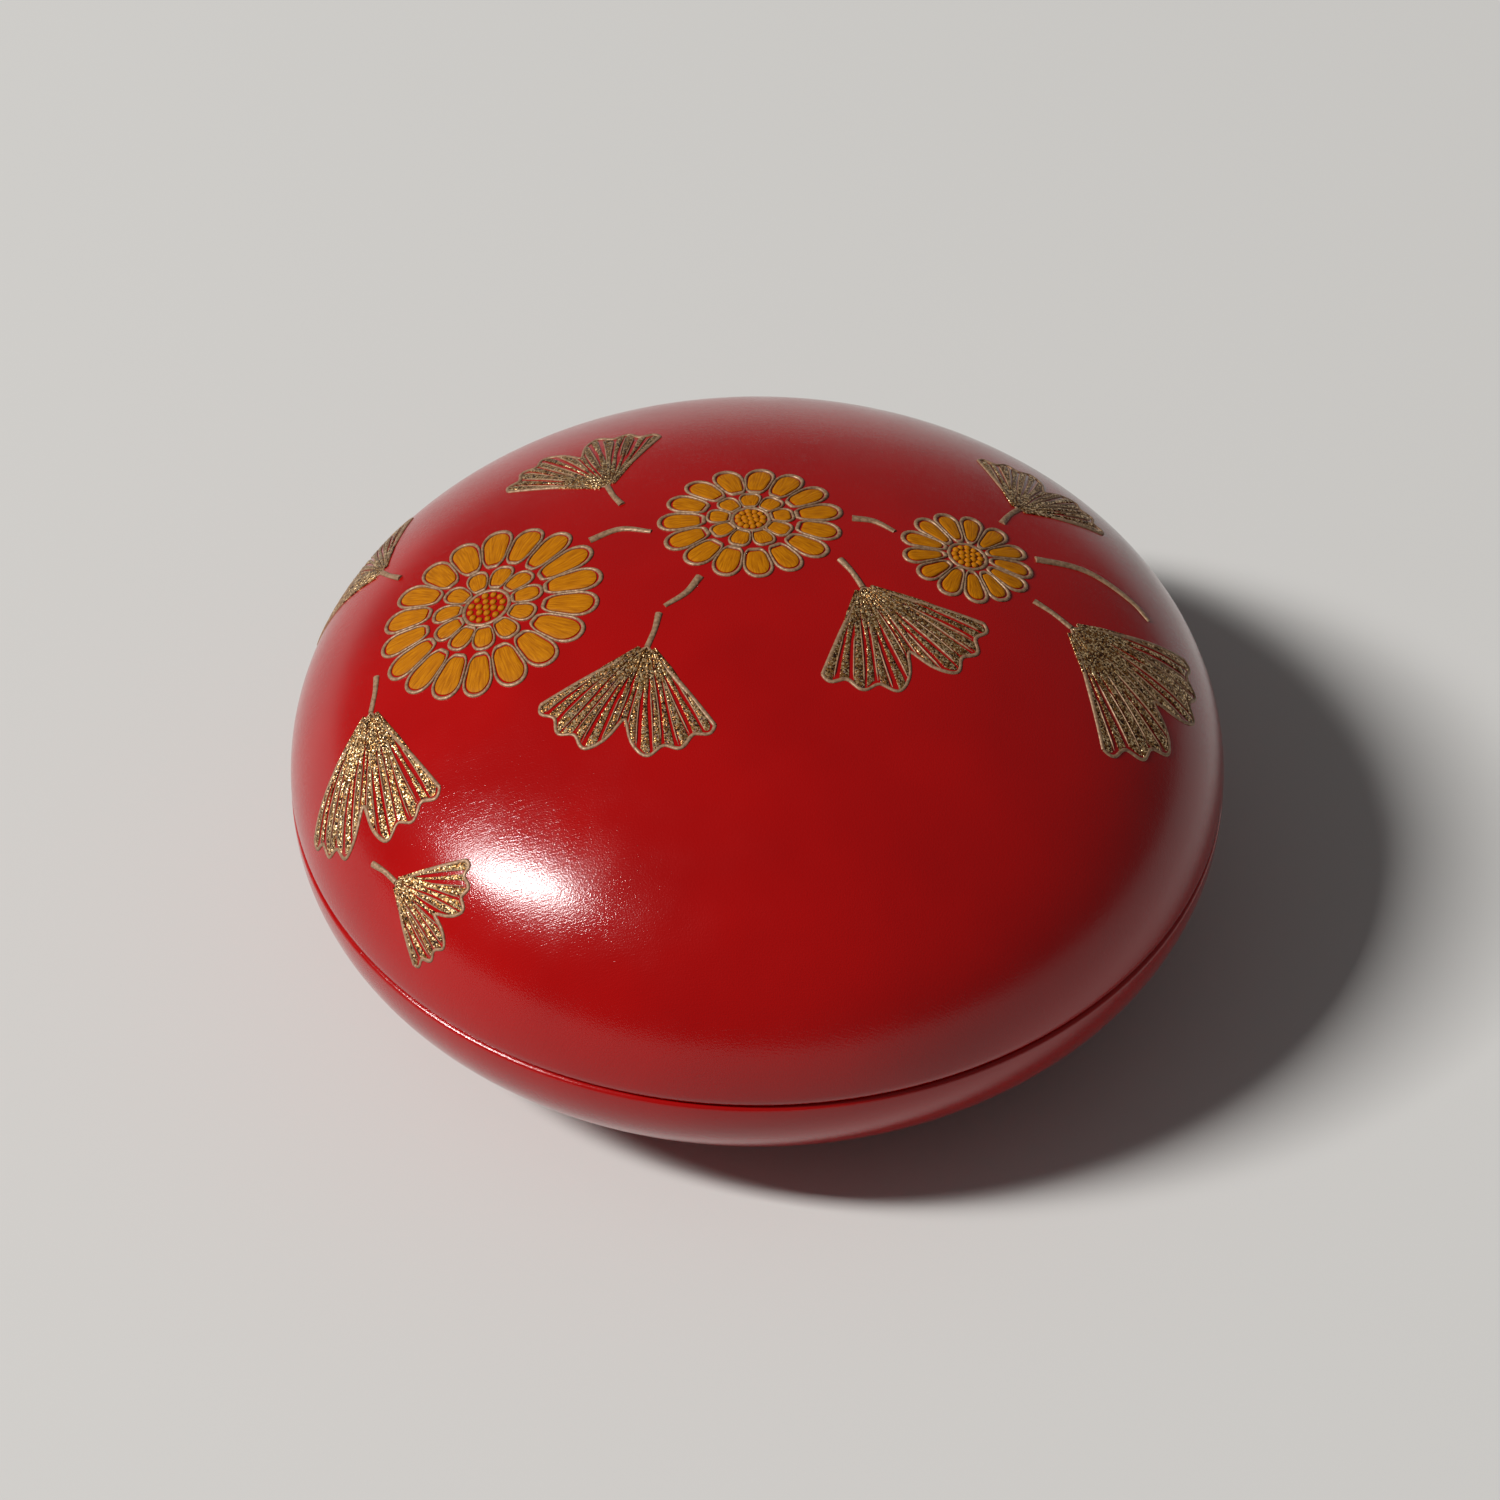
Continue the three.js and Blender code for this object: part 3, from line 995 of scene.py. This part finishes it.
def draw_line(name: str, points: Route, radii: Amounts, closed: bool = False) -> Piece:
    """A raised line of oval section along points of the flat drawing.

    Args:
        name: Name of the piece.
        points: The points.
        radii: Half of its width at its start, on the way and at its end, evenly spaced.
        closed: Whether its end meets its start.

    Returns:
        The line as a mesh.
    """
    shape = add(name, bpy.ops.curve.primitive_nurbs_path_add).data
    shape.splines.clear()
    shape.dimensions = "3D"
    shape.bevel_depth = MM
    shape.bevel_resolution = 3
    shape.use_fill_caps = True
    spline = shape.splines.new("POLY")
    spline.points.add(len(points) - 1)
    spline.use_cyclic_u = closed
    widths = np.interp(np.linspace(0, 1, len(points)), np.linspace(0, 1, len(radii)), radii)
    for knot, (x, y), width in zip(spline.points, points, widths):
        knot.co = (x, y, 0, 1)
        knot.radius = width / MM
    bpy.ops.object.convert(target="MESH")
    line = edit(bpy.context.object)
    bpy.ops.mesh.remove_doubles(threshold=WELD)
    bpy.ops.transform.resize(value=(1, 1, LINE_RISE), center_override=CENTRE)
    return end(line)


@dataclass
class Motif:
    """A motif of the gold drawing, modelled flat about its own foot or heart."""

    name: str  # the CAD node that it stands for
    at: Pair  # its place in the drawing, as shares of the lid's meridian
    turn: float  # in degrees

    def settle(self, lid: Dome, finishes: Finishes, piece: Piece, slot: Slot, *nodes: str) -> None:
        """Turns a flat piece, lays it in its place on the lid and hands it over.

        Args:
            lid: The lid's outside.
            finishes: Finishes of the box.
            piece: The piece.
            slot: The finish that it takes.
            *nodes: CAD nodes that it stands for.
        """
        place = Matrix.Translation(Vector((*self.at, 0)) * lid.meridian)
        piece.data.transform(place @ Matrix.Rotation(math.radians(self.turn), 4, "Z"))
        remap(piece, lid.lay)
        smooth(piece, GOLD_CREASE)
        finishes.hand_over(piece, Body.LID, slot, *nodes)


@dataclass(frozen=True)
class Ring:
    """A ring of petals."""

    inner: float  # radius at which they start, as a share of their blossom's
    outer: float  # radius at which they end, as a share of the same
    petals: int  # how many there are
    line: float = 0.34 * MM  # width of the raised lines at their tips
    gap: float = 0.16 * MM  # bare lacquer inside those lines


@dataclass
class Petal:
    """One petal, modelled flat with its radius along X, and then repeated round its blossom."""

    ring: Ring
    size: float  # radius of its blossom
    squeeze: float = 0.6  # share of line and gap at its sides, where two petals share a line
    tip_round: Pair = (0.48, 0.55)  # round of its tip: share of its width, and of its length
    foot_round: Pair = (0.36, 0.3)  # round of its foot, likewise; the lesser one counts
    round_steps: int = 9
    line_height: float = 0.14 * MM
    line_slope: float = 0.28  # share of the line's width that its upper half leans in
    fill_height: float = 0.07 * MM  # of the edge of the amber
    crown: float = 0.06 * MM  # how much higher the amber's middle is
    crown_steps: tuple[Pair, ...] = ((0.08, 0.55), (0.11, 0.3), (0.13, 0.15))  # in and up
    stroke_shift: Pair = (0.371, 0.217)  # from petal to petal, so that no two have the same strokes
    unsteady: Pair = (-0.06, 0.06)  # span of its own length, width and lean, as shares
    apart: float = 0.003  # least share by which it is narrowed, so that no two touch
    waver: float = 0.035 * MM  # how far the amber's edge strays from its line
    waver_length: float = 0.9 * MM
    waver_mix: Pair = (2.0, 1.7)  # how close its waves are, and how much they bend each other

    def __post_init__(self) -> None:
        """Works out its size before the squeeze, and its pitch in the ring."""
        inner, outer = self.ring.inner * self.size, self.ring.outer * self.size
        self.middle = (inner + outer) / 2
        self.pitch = FULL_TURN * self.middle / self.ring.petals
        self.length, self.width = outer - inner, self.pitch / self.squeeze

    def model(self, name: str) -> tuple[Piece, Piece]:
        """Models the ring of petals.

        Args:
            name: Start of the pieces' names.

        Returns:
            The amber and the raised lines, flat, about the drawing's centre.
        """
        piece = self._outline(name)
        self._raise_zones(piece)
        bpy.ops.mesh.select_all(action="SELECT")
        bpy.ops.transform.resize(value=(1, self.squeeze, 1), center_override=CENTRE)
        pick(piece, Zone.FILL)
        bpy.ops.mesh.separate(type="SELECTED")
        end(piece)
        fill = next(o for o in bpy.context.selected_objects if o is not piece)
        shift = dict(zip(("offset_u", "offset_v"), self.stroke_shift))
        for part in (fill, piece):
            repeat(part, self.ring.petals, ROW_PITCH * self.pitch, **shift)
            remap(part, lambda flat: self._bent(self._by_hand(flat)))
        remap(fill, self._wavering)
        return fill, piece

    def _outline(self, name: str) -> Piece:
        """Models the flat petal, with its line, its gap and its amber marked as zones.

        Args:
            name: Name of the piece.

        Returns:
            The petal, in edit mode.
        """
        piece = edit(add(name, bpy.ops.mesh.primitive_plane_add, size=1))
        bpy.ops.transform.resize(value=(self.length, self.width, 1), center_override=CENTRE)
        for side, (of_width, of_length) in ((1, self.tip_round), (-1, self.foot_round)):
            choose(piece, Kind.CORNER, lambda corner: corner.co.x * side > self.length / 2 - WELD)
            radius = min(of_width * self.width, of_length * self.length)
            bpy.ops.mesh.bevel(affect="VERTICES", offset=radius, segments=self.round_steps)
        bpy.ops.mesh.select_all(action="SELECT")
        bpy.ops.mesh.select_mode(type="FACE")
        bpy.ops.transform.translate(value=(self.middle, 0, 0))
        mark(piece, Zone.LINE)
        for zone, rim in ((Zone.GAP, self.ring.line), (Zone.FILL, self.ring.gap)):
            bpy.ops.mesh.inset(thickness=rim)
            mark(piece, zone)
        return piece

    def _raise_zones(self, piece: Piece) -> None:
        """Bares the gap, and raises the line and the crowned amber.

        Args:
            piece: The petal, in edit mode.
        """
        pick(piece, Zone.GAP)
        bpy.ops.mesh.delete(type="FACE")
        pick(piece, Zone.LINE)
        step = self.line_height / 2
        raise_faces(step)
        bpy.ops.mesh.inset(thickness=self.ring.line * self.line_slope, depth=step)
        pick(piece, Zone.FILL)
        raise_faces(self.fill_height)
        room = min(self.length, self.width) / 2 - self.ring.line - self.ring.gap
        for share, rise in self.crown_steps:
            bpy.ops.mesh.inset(thickness=room * share, depth=self.crown * rise)

    def _by_hand(self, flat: np.ndarray) -> np.ndarray:
        """Gives each petal of the strip its own length, width and lean, and brings them together.

        Args:
            flat: Points of the strip, in which the petals still lie apart.

        Returns:
            The points, moved.
        """
        index, across = tell_apart(flat[:, 1], ROW_PITCH * self.pitch)
        along = flat[:, 0] - self.middle
        own = index + self.ring.petals
        longer, wider, lean = (wander(own, seed, self.unsteady) for seed in (2.0, 4.0, 7.0))
        x = flat[:, 0] + along * longer
        y = index * self.pitch + across * (1 + np.minimum(wider, -self.apart)) + along * lean
        return np.column_stack([x, y, flat[:, 2]])

    def _bent(self, flat: np.ndarray) -> np.ndarray:
        """Bends the strip, which runs along Y, into a ring in which X becomes the radius."""
        return polar(flat[:, 0], flat[:, 1] / self.middle, flat[:, 2])

    def _wavering(self, flat: np.ndarray) -> np.ndarray:
        """Lets the amber's edge stray a little from its line.

        Args:
            flat: Points of the ring.

        Returns:
            The points, moved.
        """
        close, bend = self.waver_mix
        turns = flat[:, :2] / self.waver_length
        waves = self.waver * np.sin(close * turns[:, ::-1] + bend * np.sin(turns))
        return flat + np.column_stack([waves, np.zeros(len(flat))])


@dataclass
class Blossom(Motif):
    """A chrysanthemum seen from above."""

    radius: float  # as a share of the lid's meridian
    rings: Sequence[Ring]  # from the outside in
    heart: float  # radius of its heart, as a share of its own
    heart_line: Pair = (0.144 * MM, 0.176 * MM)  # half widths of the line round its heart
    heart_points: int = 64  # along that line
    heart_strokes: int = 13  # of different widths along it
    bead: float = 0.3 * MM  # radius of the beads in its heart
    bead_flatness: float = 0.7  # their height against their width
    bead_sink: float = 0.12 * MM  # how far a bead's foot lies in the lacquer
    bead_count: int = 6  # in the innermost ring
    bead_pitch: float = 2.2  # from ring to ring, in their radii
    bead_room: float = 0.35  # of a ring, left outside the outermost
    bead_sizes: Pair = (0.9, 1.1)

    def build(self, lid: Dome, finishes: Finishes) -> None:
        """Models the blossom and lays it on the lid.

        Args:
            lid: The lid's outside.
            finishes: Finishes of the box.
        """
        size = self.radius * lid.meridian
        heart = self.heart * size
        petals = [Petal(ring, size).model(f"{self.name}_{k}") for k, ring in enumerate(self.rings)]
        fills, lines = (list(kind) for kind in zip(*petals))
        amber = join(f"{self.name}_petals", fills + self._beads(heart))
        pale = join(f"{self.name}_lines", lines + [self._ring_line(heart)])
        self.settle(lid, finishes, amber, Slot.AMBER, self.name)
        self.settle(lid, finishes, pale, Slot.PALE)

    def _bead(self) -> Piece:
        """Models one bead: a low dome with a flat foot.

        Returns:
            The bead, at the origin.
        """
        ball = bpy.ops.mesh.primitive_ico_sphere_add
        bead = edit(add(f"{self.name}_bead", ball, subdivisions=2, radius=self.bead))
        bpy.ops.transform.resize(value=(1, 1, self.bead_flatness), center_override=CENTRE)
        foot = {"plane_co": (0, 0, -self.bead_sink), "plane_no": (0, 0, 1)}
        bpy.ops.mesh.bisect(**foot, use_fill=True, clear_inner=True)
        return end(bead)

    def _beads(self, heart: float) -> list[Piece]:
        """Fills the heart with beads, in rings about one in the middle.

        Args:
            heart: Radius of the heart.

        Returns:
            The beads.
        """
        beads = [self._bead()]
        inside = heart - self.bead
        rings = max(1, round(inside / (self.bead_pitch * self.bead)))
        for ring in range(1, rings + 1):
            place = np.arange(self.bead_count * ring)
            angles = FULL_TURN * (place + 0.5 * (ring % 2)) / len(place)
            spots = polar(inside * ring / (rings + self.bead_room), angles, 0.0)
            sizes = wander(place, seed=ring, span=self.bead_sizes)
            beads += [copy_to(beads[0], spot, size) for spot, size in zip(spots, sizes)]
        return beads

    def _ring_line(self, heart: float) -> Piece:
        """Draws the raised line round the heart.

        Args:
            heart: Radius of the heart.

        Returns:
            The line.
        """
        angles = np.linspace(0, FULL_TURN, self.heart_points, endpoint=False)
        strokes = wander(np.arange(self.heart_strokes), seed=8.0, span=self.heart_line)
        strokes[-1] = strokes[0]
        points = polar(heart, angles, 0.0)[:, :2]
        return draw_line(f"{self.name}_heart", points, strokes, closed=True)


@dataclass
class Leaf(Motif):
    """A ginkgo leaf: bands of gold flakes that fan out from its foot, parted by bare slits.

    Shares are of its length, unless they say otherwise.
    """

    length: float  # as a share of the lid's meridian
    spread: float  # half of its fan, in degrees
    bands: int = 15
    notch: float = 0.3  # depth of the notch in the middle of its edge, as a share
    notch_width: float = 0.11  # as a share of half the fan
    ripple: float = 0.03  # half the depth of the waves of its edge, as a share
    ripples: float = 6.5  # half waves from its middle to its side
    round_off: float = 0.06  # how much sooner its sides end, as a share
    foot: float = 0.1  # where its bands start, as a share
    shift: float = 0.37  # of its chances, for each degree of its turn
    cross_steps: int = 6  # across a band or a rib
    band_steps: int = 36  # along a band
    band_height: float = 0.11 * MM
    band_side: float = 0.6  # height of a band's sides against its middle
    band_least: float = 0.35  # least width of a band, as a share of the pitch
    band_reach: Pair = (0.97, 1.0)  # how near to the edge they end
    band_end: Pair = (0.05, 0.35)  # share over which a band drops to its end, and height there
    sway: float = 0.12  # how far the bands swing from side to side, as a share of their pitch
    sway_waves: Pair = (5.0, 1.7)  # of the swing: from foot to edge, and from band to band
    slit: Pair = (0.266 * MM, 0.494 * MM)  # widths of the slits between the bands
    slit_start: Pair = (0.26, 0.5)  # shares at which they open
    slit_growth: Pair = (0.25, 0.03)  # share over which they open, and how wide they are before
    rib_steps: int = 30  # along a rib
    rib: float = 0.13 * MM  # width of the ribs, thin lines along the slits
    rib_aside: float = 0.11 * MM  # how far they lie from the middle of the slits
    rib_start: Pair = (0.3, 0.6)  # shares at which they start
    rib_stop: float = 0.97  # share at which they end
    rib_end: Pair = (0.12, 0.25)  # share of a rib over which it thins out, and what is left
    rib_side: float = 0.4  # height of a rib's sides against its middle
    rib_rise: float = 1.1  # its height against the bands'
    side_line: Triple = (0.12 * MM, 0.21 * MM, 0.17 * MM)  # half widths up its sides
    side_foot: float = 0.06  # where its lines meet, as a share
    side_steps: int = 24
    rim_line: Pair = (0.13 * MM, 0.19 * MM)  # half widths round its edge
    rim_points: int = 97
    rim_strokes: int = 14  # of different widths along it
    stalk: float = 0.06  # length of its stalk, as a share of the lid's meridian
    stalk_line: Triple = (0.3 * MM, 0.24 * MM, 0.26 * MM)  # half widths from its end to the leaf
    stalk_bow: Pair = (0.4, 0.12 * MM)  # where along the stalk it bows, and how far
    stalk_steps: int = 16

    def __post_init__(self) -> None:
        """Works out the pitch of its bands, in radians."""
        self.pitch = 2 * math.radians(self.spread) / self.bands

    def build(self, lid: Dome, finishes: Finishes) -> None:
        """Models the leaf and lays it on the lid.

        Args:
            lid: The lid's outside.
            finishes: Finishes of the box.
        """
        length = self.length * lid.meridian
        flakes = self._row(f"{self.name}_flakes", self.band_steps, self.bands)
        remap(flakes, lambda unit: self._fan(unit, length))
        ribs = self._row(f"{self.name}_ribs", self.rib_steps, self.bands - 1)
        remap(ribs, lambda unit: self._rib_fan(unit, length))
        pale = join(f"{self.name}_lines", [ribs, *self._outline(length, lid.meridian)])
        self.settle(lid, finishes, flakes, Slot.POWDER, self.name)
        self.settle(lid, finishes, pale, Slot.PALE)

    def edge(self, angle: np.ndarray) -> np.ndarray:
        """Its edge.

        Args:
            angle: Angles from its middle, in radians.

        Returns:
            Shares of its length at which it ends there.
        """
        share = angle / math.radians(self.spread)
        notch = self.notch * np.exp(-((share / self.notch_width) ** 2))
        waves = self.ripple * (1 - np.cos(share * self.ripples * math.pi))
        return 1 - notch - waves - self.round_off * share**2

    def _stray(self, index: np.ndarray, span: Pair, seed: float) -> np.ndarray:
        """A number within a span for each band, of this leaf's own."""
        return wander(index, seed + self.turn * self.shift, span)

    def _centre(self, index: np.ndarray) -> np.ndarray:
        """Angle of the middle of a band, or of a slit where the index is halfway."""
        return (index + 0.5 - self.bands / 2) * self.pitch

    def _swing(self, index: np.ndarray, share: np.ndarray) -> np.ndarray:
        """How far a band or a slit swings from there on its way to the edge."""
        along, from_band_to_band = self.sway_waves
        return self.sway * self.pitch * np.sin(share * along + index * from_band_to_band)

    @staticmethod
    def _crown(across: np.ndarray, side: float) -> np.ndarray:
        """Height across a rounded bar, by that of its sides against its middle."""
        return side + (1 - side) * np.cos(across * math.pi) ** CROWN_ROUND

    def _row(self, name: str, steps: int, count: int) -> Piece:
        """Models a bar of unit length, width and height, and repeats it along Y.

        Args:
            name: Name of the piece.
            steps: Steps along the bar.
            count: How many bars there are.

        Returns:
            The row.
        """
        grid = {"x_subdivisions": steps, "y_subdivisions": self.cross_steps, "size": 1}
        bar = edit(add(name, bpy.ops.mesh.primitive_grid_add, **grid))
        bpy.ops.transform.translate(value=(0.5, 0, 0))
        raise_faces(1.0)
        repeat(end(bar), count, ROW_PITCH)
        return bar

    def _fan(self, unit: np.ndarray, length: float) -> np.ndarray:
        """Bends a row of bars into the fan of crowned bands, which part as the slits open.

        Args:
            unit: Points of the row.
            length: Length of the leaf.

        Returns:
            The points of the flat leaf.
        """
        index, across = tell_apart(unit[:, 1], ROW_PITCH)
        centre = self._centre(index)
        share = self.foot + (1 - self.foot) * unit[:, 0]
        reach = self._stray(index, self.band_reach, seed=5.0)
        radius = share * self.edge(centre + across * self.pitch) * reach * length
        opening = grow(share - self._stray(index, self.slit_start, seed=1.0), *self.slit_growth)
        slit = opening * self._stray(index, self.slit, seed=9.0)
        width = np.maximum(self.pitch - slit / radius, self.pitch * self.band_least)
        angle = centre + across * width + self._swing(index, share)
        height = self.band_height * self._crown(across, self.band_side)
        return polar(radius, angle, unit[:, 2] * height * grow(1 - unit[:, 0], *self.band_end))

    def _rib_fan(self, unit: np.ndarray, length: float) -> np.ndarray:
        """Bends a row of bars into thin lines, on one side or the other of each slit.

        Args:
            unit: Points of the row.
            length: Length of the leaf.

        Returns:
            The points of the flat leaf.
        """
        index, across = tell_apart(unit[:, 1], ROW_PITCH)
        centre = self._centre(index + 0.5)
        start = self._stray(index, self.rib_start, seed=3.0)
        share = start + (self.rib_stop - start) * unit[:, 0]
        radius = share * self.edge(centre) * length
        ends = grow(np.minimum(unit[:, 0], 1 - unit[:, 0]), *self.rib_end)
        aside = self.rib_aside * np.where(index % 2 > 0, 1, -1) + across * self.rib * ends
        angle = centre + self._swing(index + 0.5, share) + aside / radius
        height = self.band_height * self.rib_rise * self._crown(across, self.rib_side)
        return polar(radius, angle, unit[:, 2] * height * ends)

    def _outline(self, length: float, meridian: float) -> list[Piece]:
        """Draws the raised lines up its two sides, round its edge and along its stalk.

        Args:
            length: Length of the leaf.
            meridian: The lid's meridian.

        Returns:
            The lines.
        """
        half = math.radians(self.spread)
        angles = np.linspace(-half, half, self.rim_points)
        rim = polar(self.edge(angles) * length, angles, 0.0)[:, :2]
        foot, tail = (self.side_foot * length, 0.0), -self.stalk * meridian
        bow, aside = self.stalk_bow
        stalk = even([(tail, 0.0), (tail * bow, aside), foot], self.stalk_steps)
        sides = [even([foot, corner], self.side_steps) for corner in (rim[0], rim[-1])]
        strokes = self._stray(np.arange(self.rim_strokes), self.rim_line, seed=6.0)
        lines = [(side, self.side_line) for side in sides]
        lines += [(rim, strokes), (stalk, self.stalk_line)]
        return [draw_line(f"{self.name}_outline", points, radii) for points, radii in lines]


@dataclass
class Stem:
    """A raised stem or tendril of fine gold."""

    name: str  # the CAD node that it stands for
    route: Route  # points that it passes, as shares of the lid's meridian
    line: Triple = (0.36 * MM, 0.3 * MM, 0.22 * MM)  # half widths from its start to its end
    steps: int = 40

    def build(self, lid: Dome, finishes: Finishes) -> None:
        """Draws the stem and lays it on the lid.

        Args:
            lid: The lid's outside.
            finishes: Finishes of the box.
        """
        points = [(x * lid.meridian, y * lid.meridian) for x, y in self.route]
        piece = draw_line(f"{self.name}_line", even(points, self.steps), self.line)
        remap(piece, lid.lay)
        smooth(piece, GOLD_CREASE)
        finishes.hand_over(piece, Body.LID, Slot.PALE, self.name)


@dataclass
class GoldSpray:
    """The gold drawing on the lid, on a disc whose centre is its top and whose edge is its rim."""

    lid: Dome
    finishes: Finishes

    def motifs(self) -> list[Blossom | Leaf | Stem]:
        """Sets out the drawing.

        Returns:
            Three chrysanthemums, eight ginkgo leaves, three stems and a tendril.
        """
        large = (Ring(0.5, 0.99, 18), Ring(0.22, 0.49, 11, line=0.28 * MM, gap=0.1 * MM))
        medium = (Ring(0.49, 0.99, 15), Ring(0.21, 0.48, 9, line=0.24 * MM, gap=0.08 * MM))
        small = (Ring(0.32, 0.99, 13),)
        return [
            Blossom("blossom_large", (-0.463, 0.002), 5.73, 0.206, large, 0.2),
            Blossom("blossom_medium", (-0.011, 0.139), 11.46, 0.158, medium, 0.2),
            Blossom("blossom_small", (0.358, 0.097), 0.0, 0.118, small, 0.28),
            Leaf("ginkgo_leaf_side", (-0.68, -0.131), -98, 0.29, 38),
            Leaf("ginkgo_leaf_back_left", (-0.674, 0.223), 128, 0.242, 44),
            Leaf("ginkgo_leaf_front", (-0.179, -0.145), -105, 0.232, 46),
            Leaf("ginkgo_leaf_back", (-0.253, 0.266), 112, 0.221, 46),
            Leaf("ginkgo_leaf_middle", (0.168, -0.012), -60, 0.242, 46),
            Leaf("ginkgo_leaf_back_right", (0.453, 0.276), 62, 0.2, 46),
            Leaf("ginkgo_leaf_right", (0.526, -0.008), -30, 0.295, 44),
            Leaf("ginkgo_leaf_fallen", (-0.665, -0.49), -48, 0.175, 42, bands=11),
            Stem("stem_left", [(-0.284, 0.118), (-0.232, 0.137), (-0.179, 0.12)]),
            Stem("stem_middle", [(0.16, 0.154), (0.198, 0.152), (0.232, 0.131)]),
            Stem("stem_front", [(-0.096, -0.008), (-0.118, -0.044), (-0.154, -0.071)]),
            Stem("tendril_right", [(0.482, 0.139), (0.579, 0.156), (0.665, 0.128), (0.705, 0.097)]),
        ]

    def build(self) -> None:
        """Lays the whole drawing on the lid."""
        for motif in self.motifs():
            motif.build(self.lid, self.finishes)


@dataclass
class Studio:
    """Floor, light and camera."""

    seam: float  # height of the seam, at which the camera's aim starts
    image: int = 1500  # width and height of the image, in pixels
    focal_pixels: float = 6516.0  # focal length, in those pixels
    sensor: float = 36.0  # width of the sensor, in millimetres
    elevation: float = 44.22  # how far the camera looks down, in degrees
    distance: float = 532 * MM  # from the camera to its aim
    aim_right: float = -0.59 * MM  # of the box's axis
    aim_up: float = 1.23 * MM  # above the seam, in the image's own plane
    near: float = 10 * MM  # what is nearer to the camera isn't drawn
    key_toward: Triple = (-0.686, -0.173, 0.707)  # from the box to the key lamp
    key_spot: Triple = (-18.4 * MM, -25.3 * MM, 27.7 * MM)  # where on the lid it is aimed
    key_distance: float = 3.0
    key_size: Pair = (1.02, 0.32)  # length and width of the lamp
    key_along: Triple = (0.71, -0.375, 0.597)  # direction of its length
    key_power: float = 111.0  # in watts
    sky: Colour = srgb(226, 226, 228)  # the even light all round
    sky_strength: float = 0.15
    floor: Colour = srgb(208, 206, 202)
    floor_size: float = 8.0

    def build(self) -> None:
        """Sets the studio up."""
        self.lay_floor()
        self.hang_key()
        self.light_sky()
        self.place_camera()

    def lay_floor(self) -> None:
        """Lays a plain pale floor, far wider than the box."""
        floor = add("floor", bpy.ops.mesh.primitive_plane_add, size=self.floor_size)
        matt = NodeSheet("floor").finish(Base_Color=self.floor, Roughness=0.9)
        floor.data.materials.append(matt)

    def hang_key(self) -> None:
        """Hangs a soft lamp to the left."""
        toward, along = Vector(self.key_toward).normalized(), Vector(self.key_along).normalized()
        spot = Vector(self.key_spot) + toward * self.key_distance
        key = add("key", bpy.ops.object.light_add, type="AREA", location=spot)
        key.data.shape = "RECTANGLE"
        key.data.size, key.data.size_y = self.key_size
        key.data.energy = self.key_power
        key.rotation_mode = "QUATERNION"
        axes = Matrix((along, toward.cross(along), toward))
        key.rotation_quaternion = axes.transposed().to_quaternion()

    def light_sky(self) -> None:
        """Lights the box evenly from all round."""
        world = bpy.data.worlds.new("studio")
        world.use_nodes = True
        background = world.node_tree.nodes["Background"]
        background.inputs["Color"].default_value = self.sky
        background.inputs["Strength"].default_value = self.sky_strength
        bpy.context.scene.world = world

    def place_camera(self) -> None:
        """Puts the camera where the photograph was taken from."""
        rise = math.radians(self.elevation)
        back = Vector((0, -math.cos(rise), math.sin(rise)))
        up = Vector((0, math.sin(rise), math.cos(rise)))
        aim = Vector((self.aim_right, 0, self.seam)) + up * self.aim_up
        spot = aim + back * self.distance
        camera = add("camera", bpy.ops.object.camera_add, location=spot)
        camera.data.sensor_width = self.sensor
        camera.data.lens = self.sensor * self.focal_pixels / self.image
        camera.data.clip_start = self.near
        camera.rotation_mode = "QUATERNION"
        camera.rotation_quaternion = (-back).to_track_quat("-Z", "Y")
        scene = bpy.context.scene
        scene.camera = camera
        scene.view_settings.view_transform = "Standard"


def main() -> None:
    """Builds the box and its studio."""
    logging.basicConfig(level=logging.INFO, format="%(message)s")
    finishes = Finishes()
    lid, base = Lid(finishes), Base(finishes)
    lid.build()
    base.build()
    Flange(finishes).build()
    GoldSpray(lid.dome, finishes).build()
    Studio((lid.rim + base.rim) / 2).build()


if __name__ == "__main__":
    main()
